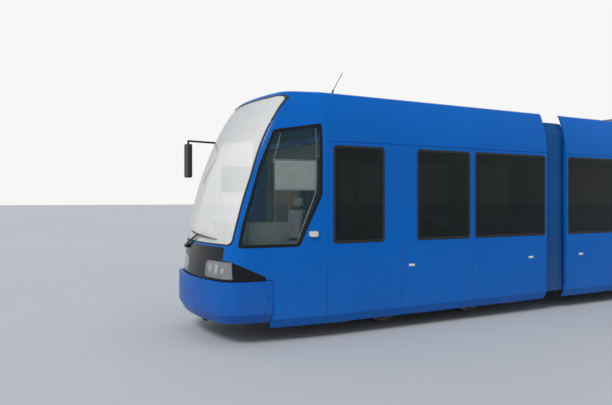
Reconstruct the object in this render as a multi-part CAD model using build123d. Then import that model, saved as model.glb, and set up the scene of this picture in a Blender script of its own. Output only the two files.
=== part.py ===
from build123d import *
from collections import namedtuple
import os

# Articulated low-floor tram, one direction of travel, doors on its right-hand side.
# Millimetres. Forward is -X, the right-hand (door) side is +Y, up is +Z.
# The origin is on the centre line at mid length, level with the bottoms of the wheel flanges.

os.makedirs("parts", exist_ok=True)

# Driving sizes of the whole vehicle
LENGTH = 20400
HALF_LENGTH = LENGTH / 2
HALF_WIDTH = 1150
ROOF_EDGE_Z = 3450
FLANGE_DEPTH = 27
NOSE_X = -HALF_LENGTH
CAB_SEAM_X = NOSE_X + 1600
PIVOT_X = -3900
GANGWAY_GAP = 250
SECTION_END_X = PIVOT_X - GANGWAY_GAP

# Body section across the tram
SKIRT_Z = 210
SKIRT_Y = 1080
CREASE_Z = 335
CANTRAIL_Z = 2760
FAIRING_MID = (1105, 3120)
FAIRING_TOP_Y = 1000
TOP_CHAMFER = 22
WALL = 70
FAIRING_WALL = 35
GLASS = 12
FLOOR_TOP = FLANGE_DEPTH + 350
FLOOR_DEPTH = 90
DECK_Z = CANTRAIL_Z + 80

# Windows and doors
WINDOW_SILL_Z = 1330
WINDOW_HEAD_Z = 2690
WINDOW_CORNER = 55
DOOR_HEAD_Z = 2640
DOOR_LEAF = 45
JOINT_GAP = 8

# Running gear: metre gauge, two axles to a bogie
WHEEL_RADIUS = 330
FLANGE_RADIUS = WHEEL_RADIUS + FLANGE_DEPTH
AXLE_Z = FLANGE_RADIUS
BOGIE_X = NOSE_X + 3850
WHEELBASE = 1800
GAUGE_FACE_Y = 498
FLANGE_BACK_Y = 467
WHEEL_OUTER_Y = 592
JOURNAL_RADIUS = 60
JOURNAL_END_Y = 850
AXLE_RADIUS = 75

# Articulation
DRUM_RADIUS = 1100
DRUM_WALL = 30
DRUM_CLEARANCE = 10
TURN_LIMIT = 22


def block(x0, x1, y0, y1, z0, z1):
    """Rectangular block between two corners."""
    centre = Pos((x0 + x1) / 2, (y0 + y1) / 2, (z0 + z1) / 2)
    return centre * Box(x1 - x0, y1 - y0, z1 - z0)


def side_prism(points, y0, y1):
    """Solid with an outline drawn in side view (X, Z), between two places across the tram."""
    face = Plane.XZ.offset(-y1) * make_face(Polyline(*points, close=True))
    return extrude(face, amount=y1 - y0)


def rounded_side_prism(x0, x1, z0, z1, radius, y0, y1):
    """Rounded rectangle in side view, carried across the tram."""
    outline = Pos((x0 + x1) / 2, (z0 + z1) / 2) * RectangleRounded(x1 - x0, z1 - z0, radius)
    return extrude(Plane.XZ.offset(-y1) * outline, amount=y1 - y0)


def tube_between(start, end, radius):
    """Round bar from one point to another."""
    a, b = Vector(*start), Vector(*end)
    return extrude(Plane(origin=a, z_dir=b - a) * Circle(radius), amount=(b - a).length)


def other_side(shape):
    """The same piece on the other side of the tram."""
    return mirror(shape, about=Plane.XZ)


def other_end(shape):
    """The same piece at the other end of the tram."""
    return mirror(shape, about=Plane.YZ)


def fused(pieces):
    """One solid from pieces that meet."""
    whole = pieces[0]
    for piece in pieces[1:]:
        whole += piece
    return whole


def save(name, pieces):
    """Write a node, made of one solid or of several that stay apart."""
    solids = []
    for piece in pieces if isinstance(pieces, (list, tuple)) else [pieces]:
        solids += piece.solids()
    shape = solids[0] if len(solids) == 1 else Compound(children=solids)
    export_step(shape, f"parts/{name}.step")


# Nose form
# A loft through plan outlines at seven heights: a shallow front arc, rounded corners and
# sides that widen back to the seam. Set-back is measured from the front of the bumper.
NoseRow = namedtuple("NoseRow", "height set_back front_half rear_half corner")
NOSE_ROWS = [
    NoseRow(CREASE_Z, 70, 1015, HALF_WIDTH, 330),
    NoseRow(900, 75, 1015, HALF_WIDTH, 330),
    NoseRow(1500, 160, 1005, HALF_WIDTH, 320),
    NoseRow(2100, 300, 990, HALF_WIDTH, 300),
    NoseRow(CANTRAIL_Z, 550, 965, HALF_WIDTH, 280),
    NoseRow(FAIRING_MID[1], 735, 920, FAIRING_MID[0], 260),
    NoseRow(ROOF_EDGE_Z, 985, 840, FAIRING_TOP_Y, 230),
]
FRONT_ARC = 3300


def plan_outline(row, inset, rear_x):
    """Plan outline of the nose at one height, drawn inwards by the inset."""
    half = row.front_half - inset
    nose = NOSE_X + row.set_back + inset
    shoulder = nose + half ** 2 / (2 * FRONT_ARC)
    front = ThreePointArc((shoulder, -half), (nose, 0), (shoulder, half))
    sides = Polyline(
        (shoulder, half),
        (rear_x, row.rear_half - inset),
        (rear_x, -row.rear_half + inset),
        (shoulder, -half),
    )
    face = make_face(front + sides)
    front_corners = face.vertices().sort_by(Axis.X)[:2]
    return fillet(front_corners, row.corner - inset * 0.6)


def nose_solid(inset, rear_x):
    """The whole nose drawn inwards by an inset, down to the crease."""
    sections = []
    for row in NOSE_ROWS:
        height = row.height - (inset if row.height > CANTRAIL_Z + 1 else 0)
        sections.append(Pos(0, 0, height) * plan_outline(row, inset, rear_x))
    return loft(sections)


def apron_solid(inset, rear_x):
    """The turned-under strip below the crease."""
    upper = plan_outline(NOSE_ROWS[0], inset, rear_x)
    tuck = HALF_WIDTH - SKIRT_Y
    lower_row = NOSE_ROWS[0]._replace(
        set_back=NOSE_ROWS[0].set_back + tuck,
        front_half=NOSE_ROWS[0].front_half - tuck,
        rear_half=NOSE_ROWS[0].rear_half - tuck,
    )
    lower = plan_outline(lower_row, inset, rear_x)
    return loft([Pos(0, 0, SKIRT_Z) * lower, Pos(0, 0, CREASE_Z) * upper], ruled=True)


# Openings of the nose in side view, as set-back from the front and height
SCREEN_EDGE = [(912, 1330), (935, 1700), (955, 2250), (935, 2700), (925, 3100), (900, 3385)]
SCREEN_DEPTH = 1300
CAB_WINDOW = [(345, 1300), (410, 1610), (645, 2390), (855, 2880), (1530, 2990), (1530, 2000), (1191, 1300)]
BUMPER_TOP_Z = 860
BUMPER_BOTTOM_Z = 300
BUMPER_END = 800
PANEL_TOP_Z = 1300
PANEL_HALF = 800
WEDGE_TIP = 712
WEDGE_START = 240
WEDGE_TOP_Z = 1125


def screen_region(shrink):
    """The windscreen's outline seen from the front, carried back through the nose."""
    right = [(half - shrink, height) for half, height in SCREEN_EDGE]
    right[0] = (right[0][0], right[0][1] + shrink)
    right[-1] = (right[-1][0], right[-1][1] - shrink)
    left = [(-half, height) for half, height in reversed(right)]
    face = make_face(Polyline(*(right + left), close=True))
    face = fillet(face.vertices(), 60)
    return Pos(NOSE_X - 50, 0, 0) * extrude(Plane.YZ * face, amount=SCREEN_DEPTH)


def cab_window_region():
    """The slanted outline of a cab side window, carried across the tram."""
    points = [(NOSE_X + set_back, height) for set_back, height in CAB_WINDOW]
    face = make_face(Polyline(*points, close=True))
    face = fillet(face.vertices(), 45)
    return extrude(Plane.XZ.offset(-HALF_WIDTH - 50) * face, amount=2 * HALF_WIDTH + 100)


def wedge_region():
    """The slim pointed tail of the lamp panel on each side."""
    points = [
        (NOSE_X - 50, BUMPER_TOP_Z),
        (NOSE_X + WEDGE_TIP, BUMPER_TOP_Z),
        (NOSE_X + WEDGE_TIP, BUMPER_TOP_Z + 45),
        (NOSE_X + WEDGE_START, WEDGE_TOP_Z),
        (NOSE_X - 50, WEDGE_TOP_Z),
    ]
    return side_prism(points, -HALF_WIDTH - 50, HALF_WIDTH + 50)


def panel_region():
    """The front lamp panel: a band below the windscreen with a wedge round each corner."""
    band = block(NOSE_X - 50, NOSE_X + 260, -PANEL_HALF, PANEL_HALF, BUMPER_TOP_Z, PANEL_TOP_Z)
    return band + wedge_region()


# Headlamps: a pocket in each lower corner of the panel, three turned lamps in it and a clear cover over it
Lamp = namedtuple("Lamp", "y z radius")
LAMPS = [Lamp(470, 1005, 68), Lamp(630, 1005, 68), Lamp(775, 985, 48)]
LAMP_INNER_Y = 370
LAMP_END = 275
LAMP_BOTTOM_Z = 885
LAMP_TOP_Z = 1110
LAMP_COVER = 12
LAMP_GAP = 6
LAMP_SETBACK = 26
LAMP_POCKET = 56


def lamp_region():
    """The pockets' outlines, seen from the front."""
    width = HALF_WIDTH + 60 - LAMP_INNER_Y
    face = Pos(LAMP_INNER_Y + width / 2, (LAMP_BOTTOM_Z + LAMP_TOP_Z) / 2) * RectangleRounded(
        width, LAMP_TOP_Z - LAMP_BOTTOM_Z, 70
    )
    right = Pos(NOSE_X - 60, 0, 0) * extrude(Plane.YZ * face, amount=LAMP_END + 60)
    return right + other_side(right)


def lamp_body(lamp):
    """A lamp's turned housing with a conical bowl, from the pocket's floor to just behind the cover."""
    needle = Pos(NOSE_X, lamp.y, lamp.z) * Rot(0, 90, 0) * Cylinder(2, 1000)
    front_x = (outer_nose & needle).bounding_box().min.X + LAMP_SETBACK
    outline = [
        (0, 18), (lamp.radius * 0.4, 16), (lamp.radius, 0), (lamp.radius + 7, 0), (lamp.radius + 7, 90), (0, 90)
    ]
    turned = revolve(Plane.XZ * make_face(Polyline(*outline, close=True)), Axis.Z)
    return Pos(front_x, lamp.y, lamp.z) * Rot(0, 90, 0) * turned


def rounded_top(solid):
    """The same solid with the edge of its flat top chamfered."""
    top = solid.faces().sort_by(Axis.Z)[-1]
    edges = [edge for edge in top.edges() if edge.center().X < CAB_SEAM_X - 1]
    return chamfer(edges, TOP_CHAMFER)


outer_nose = rounded_top(nose_solid(0, CAB_SEAM_X) + apron_solid(0, CAB_SEAM_X))
inner_nose = nose_solid(WALL, CAB_SEAM_X + 20) + block(
    NOSE_X + 300, CAB_SEAM_X + 20, -1000, 1000, SKIRT_Z - 20, CREASE_Z + 10
)
inner_nose += apron_solid(WALL, CAB_SEAM_X + 20)
nose_shell = outer_nose - inner_nose
nose_skin = outer_nose - nose_solid(GLASS, CAB_SEAM_X + 20)

bumper_bay = block(NOSE_X - 50, NOSE_X + BUMPER_END, -1300, 1300, 0, BUMPER_TOP_Z)
end_shell = nose_shell - screen_region(0) - cab_window_region() - panel_region() - bumper_bay
end_screen = nose_skin & screen_region(4)
end_windows = nose_skin & cab_window_region()

lamp_pocket = lamp_region() - nose_solid(LAMP_POCKET, CAB_SEAM_X)
lamp_bodies = [lamp_body(lamp) for lamp in LAMPS]
lamp_bodies = fused(lamp_bodies + [other_side(body) for body in lamp_bodies]) - inner_nose
lamp_bodies &= nose_solid(LAMP_COVER + LAMP_GAP, CAB_SEAM_X)
end_panel = (nose_shell & panel_region()) - lamp_pocket + lamp_bodies
end_lamps = (outer_nose - nose_solid(LAMP_COVER, CAB_SEAM_X)) & lamp_region() & panel_region()


# Bumper: a wrapped band with a turned-in lower lip
BUMPER_WALL = 55
BUMPER_LIP = 70


def bumper_solid(inset, rear_x):
    """The bumper's plan outline carried down, with its lower edge turned in."""
    row = NoseRow(0, 0, 1045, HALF_WIDTH + 6, 340)
    lip = NoseRow(0, BUMPER_LIP, 1045 - BUMPER_LIP, HALF_WIDTH + 6 - BUMPER_LIP, 320)
    upper = extrude(plan_outline(row, inset, rear_x), amount=BUMPER_TOP_Z - BUMPER_BOTTOM_Z - 120)
    lower = loft([plan_outline(lip, inset, rear_x), Pos(0, 0, 120) * plan_outline(row, inset, rear_x)], ruled=True)
    return Pos(0, 0, BUMPER_BOTTOM_Z + 120) * upper + Pos(0, 0, BUMPER_BOTTOM_Z) * lower


def make_bumper():
    """Bumper shell, closed behind the front and open at the rear of its two arms."""
    band = bumper_solid(0, CAB_SEAM_X) - bumper_solid(BUMPER_WALL, CAB_SEAM_X + 10)
    behind = block(NOSE_X + BUMPER_END - JOINT_GAP, 0, -1300, 1300, 0, 2000)
    above = block(NOSE_X - 50, 0, -1300, 1300, BUMPER_TOP_Z - JOINT_GAP, 2000)
    return band - behind - above


# Side walls, window panes and door leaves
# Every opening is a row: its side (+1 right, -1 left), where it starts and ends, and its kind.
Opening = namedtuple("Opening", "side start end kind")
END_OPENINGS = [
    Opening(-1, -8490, -7630, "window"),
    Opening(-1, -7010, -5950, "window"),
    Opening(-1, -5830, -4200, "window"),
    Opening(+1, -8420, -7660, "door"),
    Opening(+1, -7010, -5950, "window"),
    Opening(+1, -5830, -4200, "window"),
]
MIDDLE_OPENINGS = [
    Opening(-1, -3600, -1880, "window"),
    Opening(-1, -1780, -50, "window"),
    Opening(-1, 50, 1780, "window"),
    Opening(-1, 1880, 3600, "window"),
    Opening(+1, -3600, -2560, "window"),
    Opening(+1, -2420, -1120, "door"),
    Opening(+1, -980, 980, "window"),
    Opening(+1, 1120, 2420, "door"),
    Opening(+1, 2560, 3600, "window"),
]


def wall_outline():
    """Cross-section of one side wall, on the +Y side."""
    return make_face(Polyline(
        (SKIRT_Y, SKIRT_Z),
        (HALF_WIDTH, CREASE_Z),
        (HALF_WIDTH, CANTRAIL_Z),
        (HALF_WIDTH - WALL, CANTRAIL_Z),
        (HALF_WIDTH - WALL, FLOOR_TOP - FLOOR_DEPTH - 8),
        (SKIRT_Y - WALL + 20, SKIRT_Z),
        close=True,
    ))


def opening_cut(opening, y0, y1):
    """The hole that an opening makes in its wall."""
    if opening.kind == "window":
        return rounded_side_prism(
            opening.start, opening.end, WINDOW_SILL_Z, WINDOW_HEAD_Z, WINDOW_CORNER, y0, y1
        )
    return block(opening.start, opening.end, y0, y1, CREASE_Z + 15, DOOR_HEAD_Z)


def make_side_walls(x0, x1, openings):
    """Left and right wall of a section with its openings cut."""
    right = Pos(x0, 0, 0) * extrude(Plane.YZ * wall_outline(), amount=x1 - x0)
    walls = {+1: right, -1: other_side(right)}
    for opening in openings:
        span = (900, 1300) if opening.side > 0 else (-1300, -900)
        walls[opening.side] -= opening_cut(opening, *span)
    return [walls[+1], walls[-1]]


def pane(opening, margin, z0, z1, radius):
    """Flush pane in an opening, between the outer face of the wall and the glass thickness."""
    outer = opening.side * (HALF_WIDTH - 2)
    inner = opening.side * (HALF_WIDTH - 2 - GLASS)
    return rounded_side_prism(
        opening.start + margin, opening.end - margin, z0, z1, radius, min(outer, inner), max(outer, inner)
    )


DOOR_GLASS_Z = (780, 2520)
DOOR_FRAME = 85


def make_windows(openings):
    """Window panes, with the door glass that stands in the leaves."""
    panes = []
    for opening in openings:
        if opening.kind == "window":
            panes.append(pane(opening, 3, WINDOW_SILL_Z + 3, WINDOW_HEAD_Z - 3, WINDOW_CORNER - 3))
        else:
            for leaf in door_leaves(opening):
                glass = leaf_window(leaf)
                panes.append(pane(glass, 2, DOOR_GLASS_Z[0] + 2, DOOR_GLASS_Z[1] - 2, 38))
    return panes


def door_leaves(opening):
    """One leaf in a narrow doorway, two in a wide one."""
    if opening.end - opening.start < 1000:
        return [opening]
    middle = (opening.start + opening.end) / 2
    return [opening._replace(end=middle - 1), opening._replace(start=middle + 1)]


def leaf_window(leaf):
    """Where the glass of a leaf lies."""
    return leaf._replace(start=leaf.start + DOOR_FRAME, end=leaf.end - DOOR_FRAME)


def make_doors(openings):
    """Door leaves, closed and flush with the wall."""
    leaves = []
    for opening in openings:
        if opening.kind != "door":
            continue
        for leaf in door_leaves(opening):
            y1 = HALF_WIDTH - 1
            panel = block(
                leaf.start + JOINT_GAP, leaf.end - JOINT_GAP, y1 - DOOR_LEAF, y1,
                CREASE_Z + 15 + JOINT_GAP, DOOR_HEAD_Z - JOINT_GAP,
            )
            glass = leaf_window(leaf)
            hole = rounded_side_prism(glass.start, glass.end, *DOOR_GLASS_Z, 40, 900, 1300)
            leaves.append(panel - hole)
    return leaves


# Roof: a deck between two leaning fairings that hide the equipment
def fairing_outline(inset):
    """Closed outline of everything under the fairing's curved face, on the +Y side."""
    lean = ThreePointArc(
        (HALF_WIDTH - inset, CANTRAIL_Z),
        (FAIRING_MID[0] - inset, FAIRING_MID[1]),
        (FAIRING_TOP_Y - inset, ROOF_EDGE_Z),
    )
    rest = Polyline(
        (FAIRING_TOP_Y - inset, ROOF_EDGE_Z), (0, ROOF_EDGE_Z), (0, CANTRAIL_Z), (HALF_WIDTH - inset, CANTRAIL_Z)
    )
    face = make_face(lean + rest)
    return chamfer(face.vertices().group_by(Axis.Y)[-1].sort_by(Axis.X)[-1], TOP_CHAMFER)


CAB_CAP_END = CAB_SEAM_X + 430


def make_roof(x0, x1, pivots, cap_end=None):
    """Roof deck with a fairing along each side. The deck ends round the drums.
    Behind a cab the roof stays closed up to the end of its cap."""
    full = Pos(x0, 0, 0) * extrude(Plane.YZ * fairing_outline(0), amount=x1 - x0)
    hollow = Pos(x0, 0, 0) * extrude(Plane.YZ * fairing_outline(FAIRING_WALL), amount=x1 - x0)
    deck = block(x0, x1, 0, HALF_WIDTH, CANTRAIL_Z, DECK_Z) & full
    for pivot in pivots:
        deck -= drum_cut(pivot)
    half = (full - hollow) + deck
    if cap_end is not None:
        half += full & block(x0, cap_end, 0, HALF_WIDTH, ROOF_EDGE_Z - FAIRING_WALL, ROOF_EDGE_Z)
        half += full & block(cap_end - FAIRING_WALL, cap_end, 0, HALF_WIDTH, DECK_Z, ROOF_EDGE_Z)
    return half + other_side(half)


# Articulation: a drum round each pivot, with its floor disc, roof disc and curved flanks
DRUM_CEILING_Z = 2700
DRUM_DISC = 40
DRUM_LEAN = [(1085, 3090), (1015, 3300)]
DRUM_FIXED_ANGLE = 17
DRUM_FREE_ANGLE = 38


def sine(angle):
    """Sine of an angle in degrees."""
    return Vector(1, 0, 0).rotate(Axis.Z, angle).Y


def drum_cut(x):
    """Round end of a floor or roof deck at a pivot."""
    return Pos(x, 0, 0) * Cylinder(DRUM_RADIUS + DRUM_CLEARANCE, 8000)


def make_gangway():
    """Drum round the front pivot. Its long flanks reach into the section that swings."""
    floor_z = FLOOR_TOP - DRUM_DISC
    disc_top = DRUM_CEILING_Z + DRUM_DISC
    leaning = [(DRUM_RADIUS, CANTRAIL_Z)] + DRUM_LEAN
    inner = [(radius - DRUM_WALL, height) for radius, height in reversed(leaning)]
    outline = [(0, floor_z), (DRUM_RADIUS, floor_z)] + leaning + inner
    outline += [
        (DRUM_RADIUS - DRUM_WALL, disc_top), (0, disc_top), (0, DRUM_CEILING_Z),
        (DRUM_RADIUS - DRUM_WALL, DRUM_CEILING_Z), (DRUM_RADIUS - DRUM_WALL, FLOOR_TOP), (0, FLOOR_TOP),
    ]
    drum = revolve(Plane.XZ * make_face(Polyline(*outline, close=True)), Axis.Z)
    reach_free = DRUM_RADIUS * sine(DRUM_FREE_ANGLE)
    reach_fixed = DRUM_RADIUS * sine(DRUM_FIXED_ANGLE)
    for x0, x1 in ((-2000, -reach_free), (reach_fixed, 2000)):
        drum -= block(x0, x1, -2000, 2000, FLOOR_TOP, DRUM_CEILING_Z)
        drum -= block(x0, x1, -2000, 2000, disc_top, ROOF_EDGE_Z)
    return Pos(PIVOT_X, 0, 0) * drum


# Underframes
BAY_START = BOGIE_X - WHEELBASE / 2 - 400
BAY_END = BOGIE_X + WHEELBASE / 2 + 400
AISLE_RAMP = 250
AISLE_Z = 480
PLATE = 25
BOX_INNER_Y = 400
BOX_TOP_Z = 800
FLOOR_HALF = SKIRT_Y - 8
FRONT_BEAM_X = NOSE_X + 330
FRONT_BEAM_HALF = 860
PAD_Z = 175
JACK_X = (-8250, -4850)
TOW_EYE_X = NOSE_X + 255
TOW_EYE_Z = 240
TOW_EYE_RADIUS = 21


def bay_cover():
    """Ramped aisle over a bogie, with a box over the wheels on each side."""
    top = [
        (BAY_START, FLOOR_TOP), (BAY_START + AISLE_RAMP, AISLE_Z),
        (BAY_END - AISLE_RAMP, AISLE_Z), (BAY_END, FLOOR_TOP),
    ]
    under = [(x, z - PLATE) for x, z in reversed(top)]
    aisle = side_prism(top + under, -BOX_INNER_Y - PLATE, BOX_INNER_Y + PLATE)
    box = block(BAY_START, BAY_END, BOX_INNER_Y, FLOOR_HALF, FLOOR_TOP - FLOOR_DEPTH, BOX_TOP_Z)
    box -= block(BAY_START + PLATE, BAY_END - PLATE, BOX_INNER_Y + PLATE, HALF_WIDTH, 0, BOX_TOP_Z - PLATE)
    box -= block(
        BAY_START + AISLE_RAMP, BAY_END - AISLE_RAMP, BOX_INNER_Y - 1, BOX_INNER_Y + PLATE + 1, 0, AISLE_Z - PLATE
    )
    return aisle + box + other_side(box)


def jack_pads(places):
    """Jacking pads under both sills."""
    pads = []
    for x in places:
        for y in (-930, 930):
            pads.append(block(x - 90, x + 90, y - 60, y + 60, PAD_Z, FLOOR_TOP - FLOOR_DEPTH + 5))
    return pads


def make_end_underframe():
    """Floor plates ahead of and behind the bogie, its cover, jacking pads and the towing bracket."""
    floor_z = FLOOR_TOP - FLOOR_DEPTH
    cab = Pos(0, 0, floor_z) * extrude(plan_outline(NOSE_ROWS[0], WALL + 45, CAB_SEAM_X), amount=FLOOR_DEPTH)
    cab -= block(NOSE_X, FRONT_BEAM_X, -1200, 1200, 0, 1000)
    for y0, y1 in ((-1200, -FRONT_BEAM_HALF), (FRONT_BEAM_HALF, 1200)):
        cab -= block(NOSE_X, NOSE_X + BUMPER_END + 20, y0, y1, 0, 1000)
    saloon = block(CAB_SEAM_X, BAY_START, -FLOOR_HALF, FLOOR_HALF, floor_z, FLOOR_TOP)
    front_plate = fused([cab, saloon] + jack_pads(JACK_X[:1]))
    rear_plate = block(BAY_END, SECTION_END_X, -FLOOR_HALF, FLOOR_HALF, floor_z, FLOOR_TOP) - drum_cut(PIVOT_X)
    rear_plate = fused([rear_plate] + jack_pads(JACK_X[1:]))
    bracket = block(FRONT_BEAM_X - 130, FRONT_BEAM_X + 200, -20, 20, 190, floor_z)
    bracket = fillet(bracket.edges().filter_by(Axis.Y).group_by(Axis.Z)[0], 40)
    eye = Pos(TOW_EYE_X, 0, TOW_EYE_Z) * Rot(90, 0, 0) * Cylinder(TOW_EYE_RADIUS, 200)
    return [front_plate, bay_cover(), rear_plate, bracket - eye]


def make_middle_underframe():
    """Floor, keel beams and jacking pads of the carried section."""
    end = -PIVOT_X - GANGWAY_GAP
    slab = block(-end, end, -FLOOR_HALF, FLOOR_HALF, FLOOR_TOP - FLOOR_DEPTH, FLOOR_TOP)
    slab -= drum_cut(PIVOT_X)
    slab -= drum_cut(-PIVOT_X)
    keels = [block(-2650, 2650, y - 60, y + 60, 200, FLOOR_TOP - FLOOR_DEPTH + 5) for y in (-560, 560)]
    return fused([slab] + keels + jack_pads((-2600, 2600)))


# Running gear
def make_wheelset(x):
    """Axle, two wheels with flanges and two brake discs, turned as one."""
    half = [
        (0, AXLE_RADIUS),
        (FLANGE_BACK_Y - 25, AXLE_RADIUS),
        (FLANGE_BACK_Y + 5, AXLE_RADIUS + 35),
        (FLANGE_BACK_Y + 20, WHEEL_RADIUS - 75),
        (FLANGE_BACK_Y, WHEEL_RADIUS - 55),
        (FLANGE_BACK_Y, FLANGE_RADIUS - 12),
        (FLANGE_BACK_Y + 12, FLANGE_RADIUS),
        (GAUGE_FACE_Y - 8, FLANGE_RADIUS - 8),
        (GAUGE_FACE_Y + 6, WHEEL_RADIUS + 1),
        (WHEEL_OUTER_Y, WHEEL_RADIUS - 3),
        (WHEEL_OUTER_Y, WHEEL_RADIUS - 55),
        (WHEEL_OUTER_Y - 60, WHEEL_RADIUS - 75),
        (WHEEL_OUTER_Y - 60, AXLE_RADIUS + 45),
        (WHEEL_OUTER_Y + 10, AXLE_RADIUS + 35),
        (WHEEL_OUTER_Y + 10, JOURNAL_RADIUS),
        (JOURNAL_END_Y, JOURNAL_RADIUS),
    ]
    points = [(-y, r) for y, r in reversed(half)] + half[1:]
    outline = [(y, r) for y, r in points] + [(JOURNAL_END_Y, 0), (-JOURNAL_END_Y, 0)]
    section = make_face(Polyline(*outline, close=True))
    turned = revolve(Plane.YZ * section, Axis.Y)
    return Pos(x, 0, AXLE_Z) * turned


BEAM_Y = (700, 800)
BOX_HALF = 115
TRANSOM_X = 280


def make_bogie():
    """Frame with axle boxes, transoms, motor blocks, springs and track brakes."""
    axles = (BOGIE_X - WHEELBASE / 2, BOGIE_X + WHEELBASE / 2)
    pieces = []
    for side in (-1, 1):
        y0, y1 = sorted((side * BEAM_Y[0], side * BEAM_Y[1]))
        beam = side_prism(
            [
                (axles[0] - 130, 330), (axles[0] + 130, 330), (axles[0] + 330, 250), (axles[1] - 330, 250),
                (axles[1] - 130, 330), (axles[1] + 130, 330), (axles[1] + 130, 470), (axles[1] - 200, 470),
                (axles[1] - 380, 400), (axles[0] + 380, 400), (axles[0] + 200, 470), (axles[0] - 130, 470),
            ],
            y0, y1,
        )
        pieces.append(beam)
        for x in axles:
            a0, a1 = sorted((side * 640, side * 870))
            pieces.append(block(x - BOX_HALF, x + BOX_HALF, a0, a1, AXLE_Z - BOX_HALF, AXLE_Z + BOX_HALF))
        pieces.append(Pos(BOGIE_X, side * 750, 460) * Cylinder(150, 130))
    for x in (BOGIE_X - TRANSOM_X, BOGIE_X + TRANSOM_X):
        pieces.append(block(x - 60, x + 60, -BEAM_Y[0] - 10, BEAM_Y[0] + 10, 270, 390))
    for axle, towards in ((axles[0], 1), (axles[1], -1)):
        x0, x1 = sorted((axle + towards * 110, axle + towards * 600))
        pieces.append(block(x0, x1, -300, 300, 180, 440))
    for side in (-1, 1):
        y0, y1 = sorted((side * 500, side * 565))
        pieces.append(block(BOGIE_X - 350, BOGIE_X + 350, y0, y1, FLANGE_DEPTH + 45, 150))
        for x in (BOGIE_X - TRANSOM_X, BOGIE_X + TRANSOM_X):
            pieces.append(block(x - 25, x + 25, y0 + 10, y1 - 10, 140, 290))
    frame = fused(pieces)
    for x in axles:
        frame -= Pos(x, 0, AXLE_Z) * Rot(90, 0, 0) * Cylinder(JOURNAL_RADIUS + 1, 4000)
        hub_space = Pos(x, 0, AXLE_Z) * Rot(90, 0, 0) * Cylinder(AXLE_RADIUS + 60, 2 * 625)
        frame -= hub_space
    return frame


# Seats: facing +1 looks back and -1 looks forward. Two abreast on the left of the middle section, else one.
SeatRow = namedtuple("SeatRow", "x side facing base abreast")
END_SEATS = [
    SeatRow(x, side, facing, BOX_TOP_Z, 1)
    for side in (-1, 1)
    for x, facing in ((-7100, -1), (-6250, 1), (-5600, -1))
]
MIDDLE_SEATS = [
    SeatRow(x, -1, facing, FLOOR_TOP, 2)
    for x, facing in ((-2500, 1), (-950, -1), (-150, -1), (650, 1), (2300, -1))
]
MIDDLE_SEATS += [SeatRow(x, 1, facing, FLOOR_TOP, 1) for x, facing in ((-650, 1), (450, -1))]
SEAT_WIDTH = 430
SEAT_GAP = 15


def make_seat(row):
    """One or two seats on a pedestal: cushions, backs and a wall bracket."""
    pad_z = row.base + (150 if row.base > FLOOR_TOP else 330)
    pieces = []
    outline = [
        (0, pad_z), (430, pad_z + 20), (430, pad_z + 90), (60, pad_z + 80), (-30, pad_z + 640),
        (-80, pad_z + 640), (-60, pad_z + 20),
    ]
    outline = [(row.x - row.facing * 215 + row.facing * u, z) for u, z in outline]
    wall_y = HALF_WIDTH - WALL - 12
    y = wall_y
    seats = []
    for _ in range(row.abreast):
        seats.append(side_prism(outline, y - SEAT_WIDTH, y))
        y -= SEAT_WIDTH + SEAT_GAP
    rail = block(row.x - 110, row.x + 110, y + SEAT_GAP + 30, wall_y - 30, pad_z - 40, pad_z + 40)
    foot = block(row.x - 60, row.x + 60, wall_y - 400, wall_y - 120, row.base + 1, pad_z - 30)
    seat = fused([rail, foot] + seats)
    return seat if row.side > 0 else other_side(seat)


Pole = namedtuple("Pole", "x y base")
END_POLES = [Pole(x, y, FLOOR_TOP) for x in (-8300, -7710) for y in (-560, 560)]
MIDDLE_POLES = [Pole(x, y, FLOOR_TOP) for x in (-2300, -1250, 1250, 2300) for y in (600,)]
POLE_RADIUS = 17
CEILING_Z = CANTRAIL_Z


def make_handrails(poles):
    """Floor-to-ceiling grab poles with small feet."""
    rails = []
    for pole in poles:
        post = Pos(pole.x, pole.y, (pole.base + CEILING_Z) / 2) * Cylinder(POLE_RADIUS, CEILING_Z - pole.base - 1)
        foot = Pos(pole.x, pole.y, pole.base + 8) * Cylinder(45, 14)
        rails.append(post + foot)
    return rails


# Cab inside
CAB_FLOOR_Z = FLOOR_TOP + 280
PARTITION_X = CAB_SEAM_X + 110


def make_desk():
    """Driver's desk, its front ledge under the windscreen and its side consoles."""
    outline = [
        (NOSE_X + 370, CAB_FLOOR_Z), (NOSE_X + 640, CAB_FLOOR_Z), (NOSE_X + 600, 1180), (NOSE_X + 860, 1270),
        (NOSE_X + 850, 1330), (NOSE_X + 560, 1420), (NOSE_X + 370, 1400),
    ]
    desk = side_prism(outline, -800, 800)
    podium = block(NOSE_X + 370, PARTITION_X - 10, -860, 860, FLOOR_TOP + 1, CAB_FLOOR_Z)
    podium -= block(NOSE_X, NOSE_X + 560, 780, 900, 0, 1000) + block(NOSE_X, NOSE_X + 560, -900, -780, 0, 1000)
    right_console = block(NOSE_X + 800, NOSE_X + 1250, 560, 860, CAB_FLOOR_Z - 5, 1300)
    left_console = side_prism(
        [(NOSE_X + 540, 1300), (NOSE_X + 560, 1590), (NOSE_X + 1150, 1620), (NOSE_X + 1180, CAB_FLOOR_Z - 5),
         (NOSE_X + 540, CAB_FLOOR_Z - 5)], -860, -600)
    return desk + podium + right_console + left_console


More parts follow.
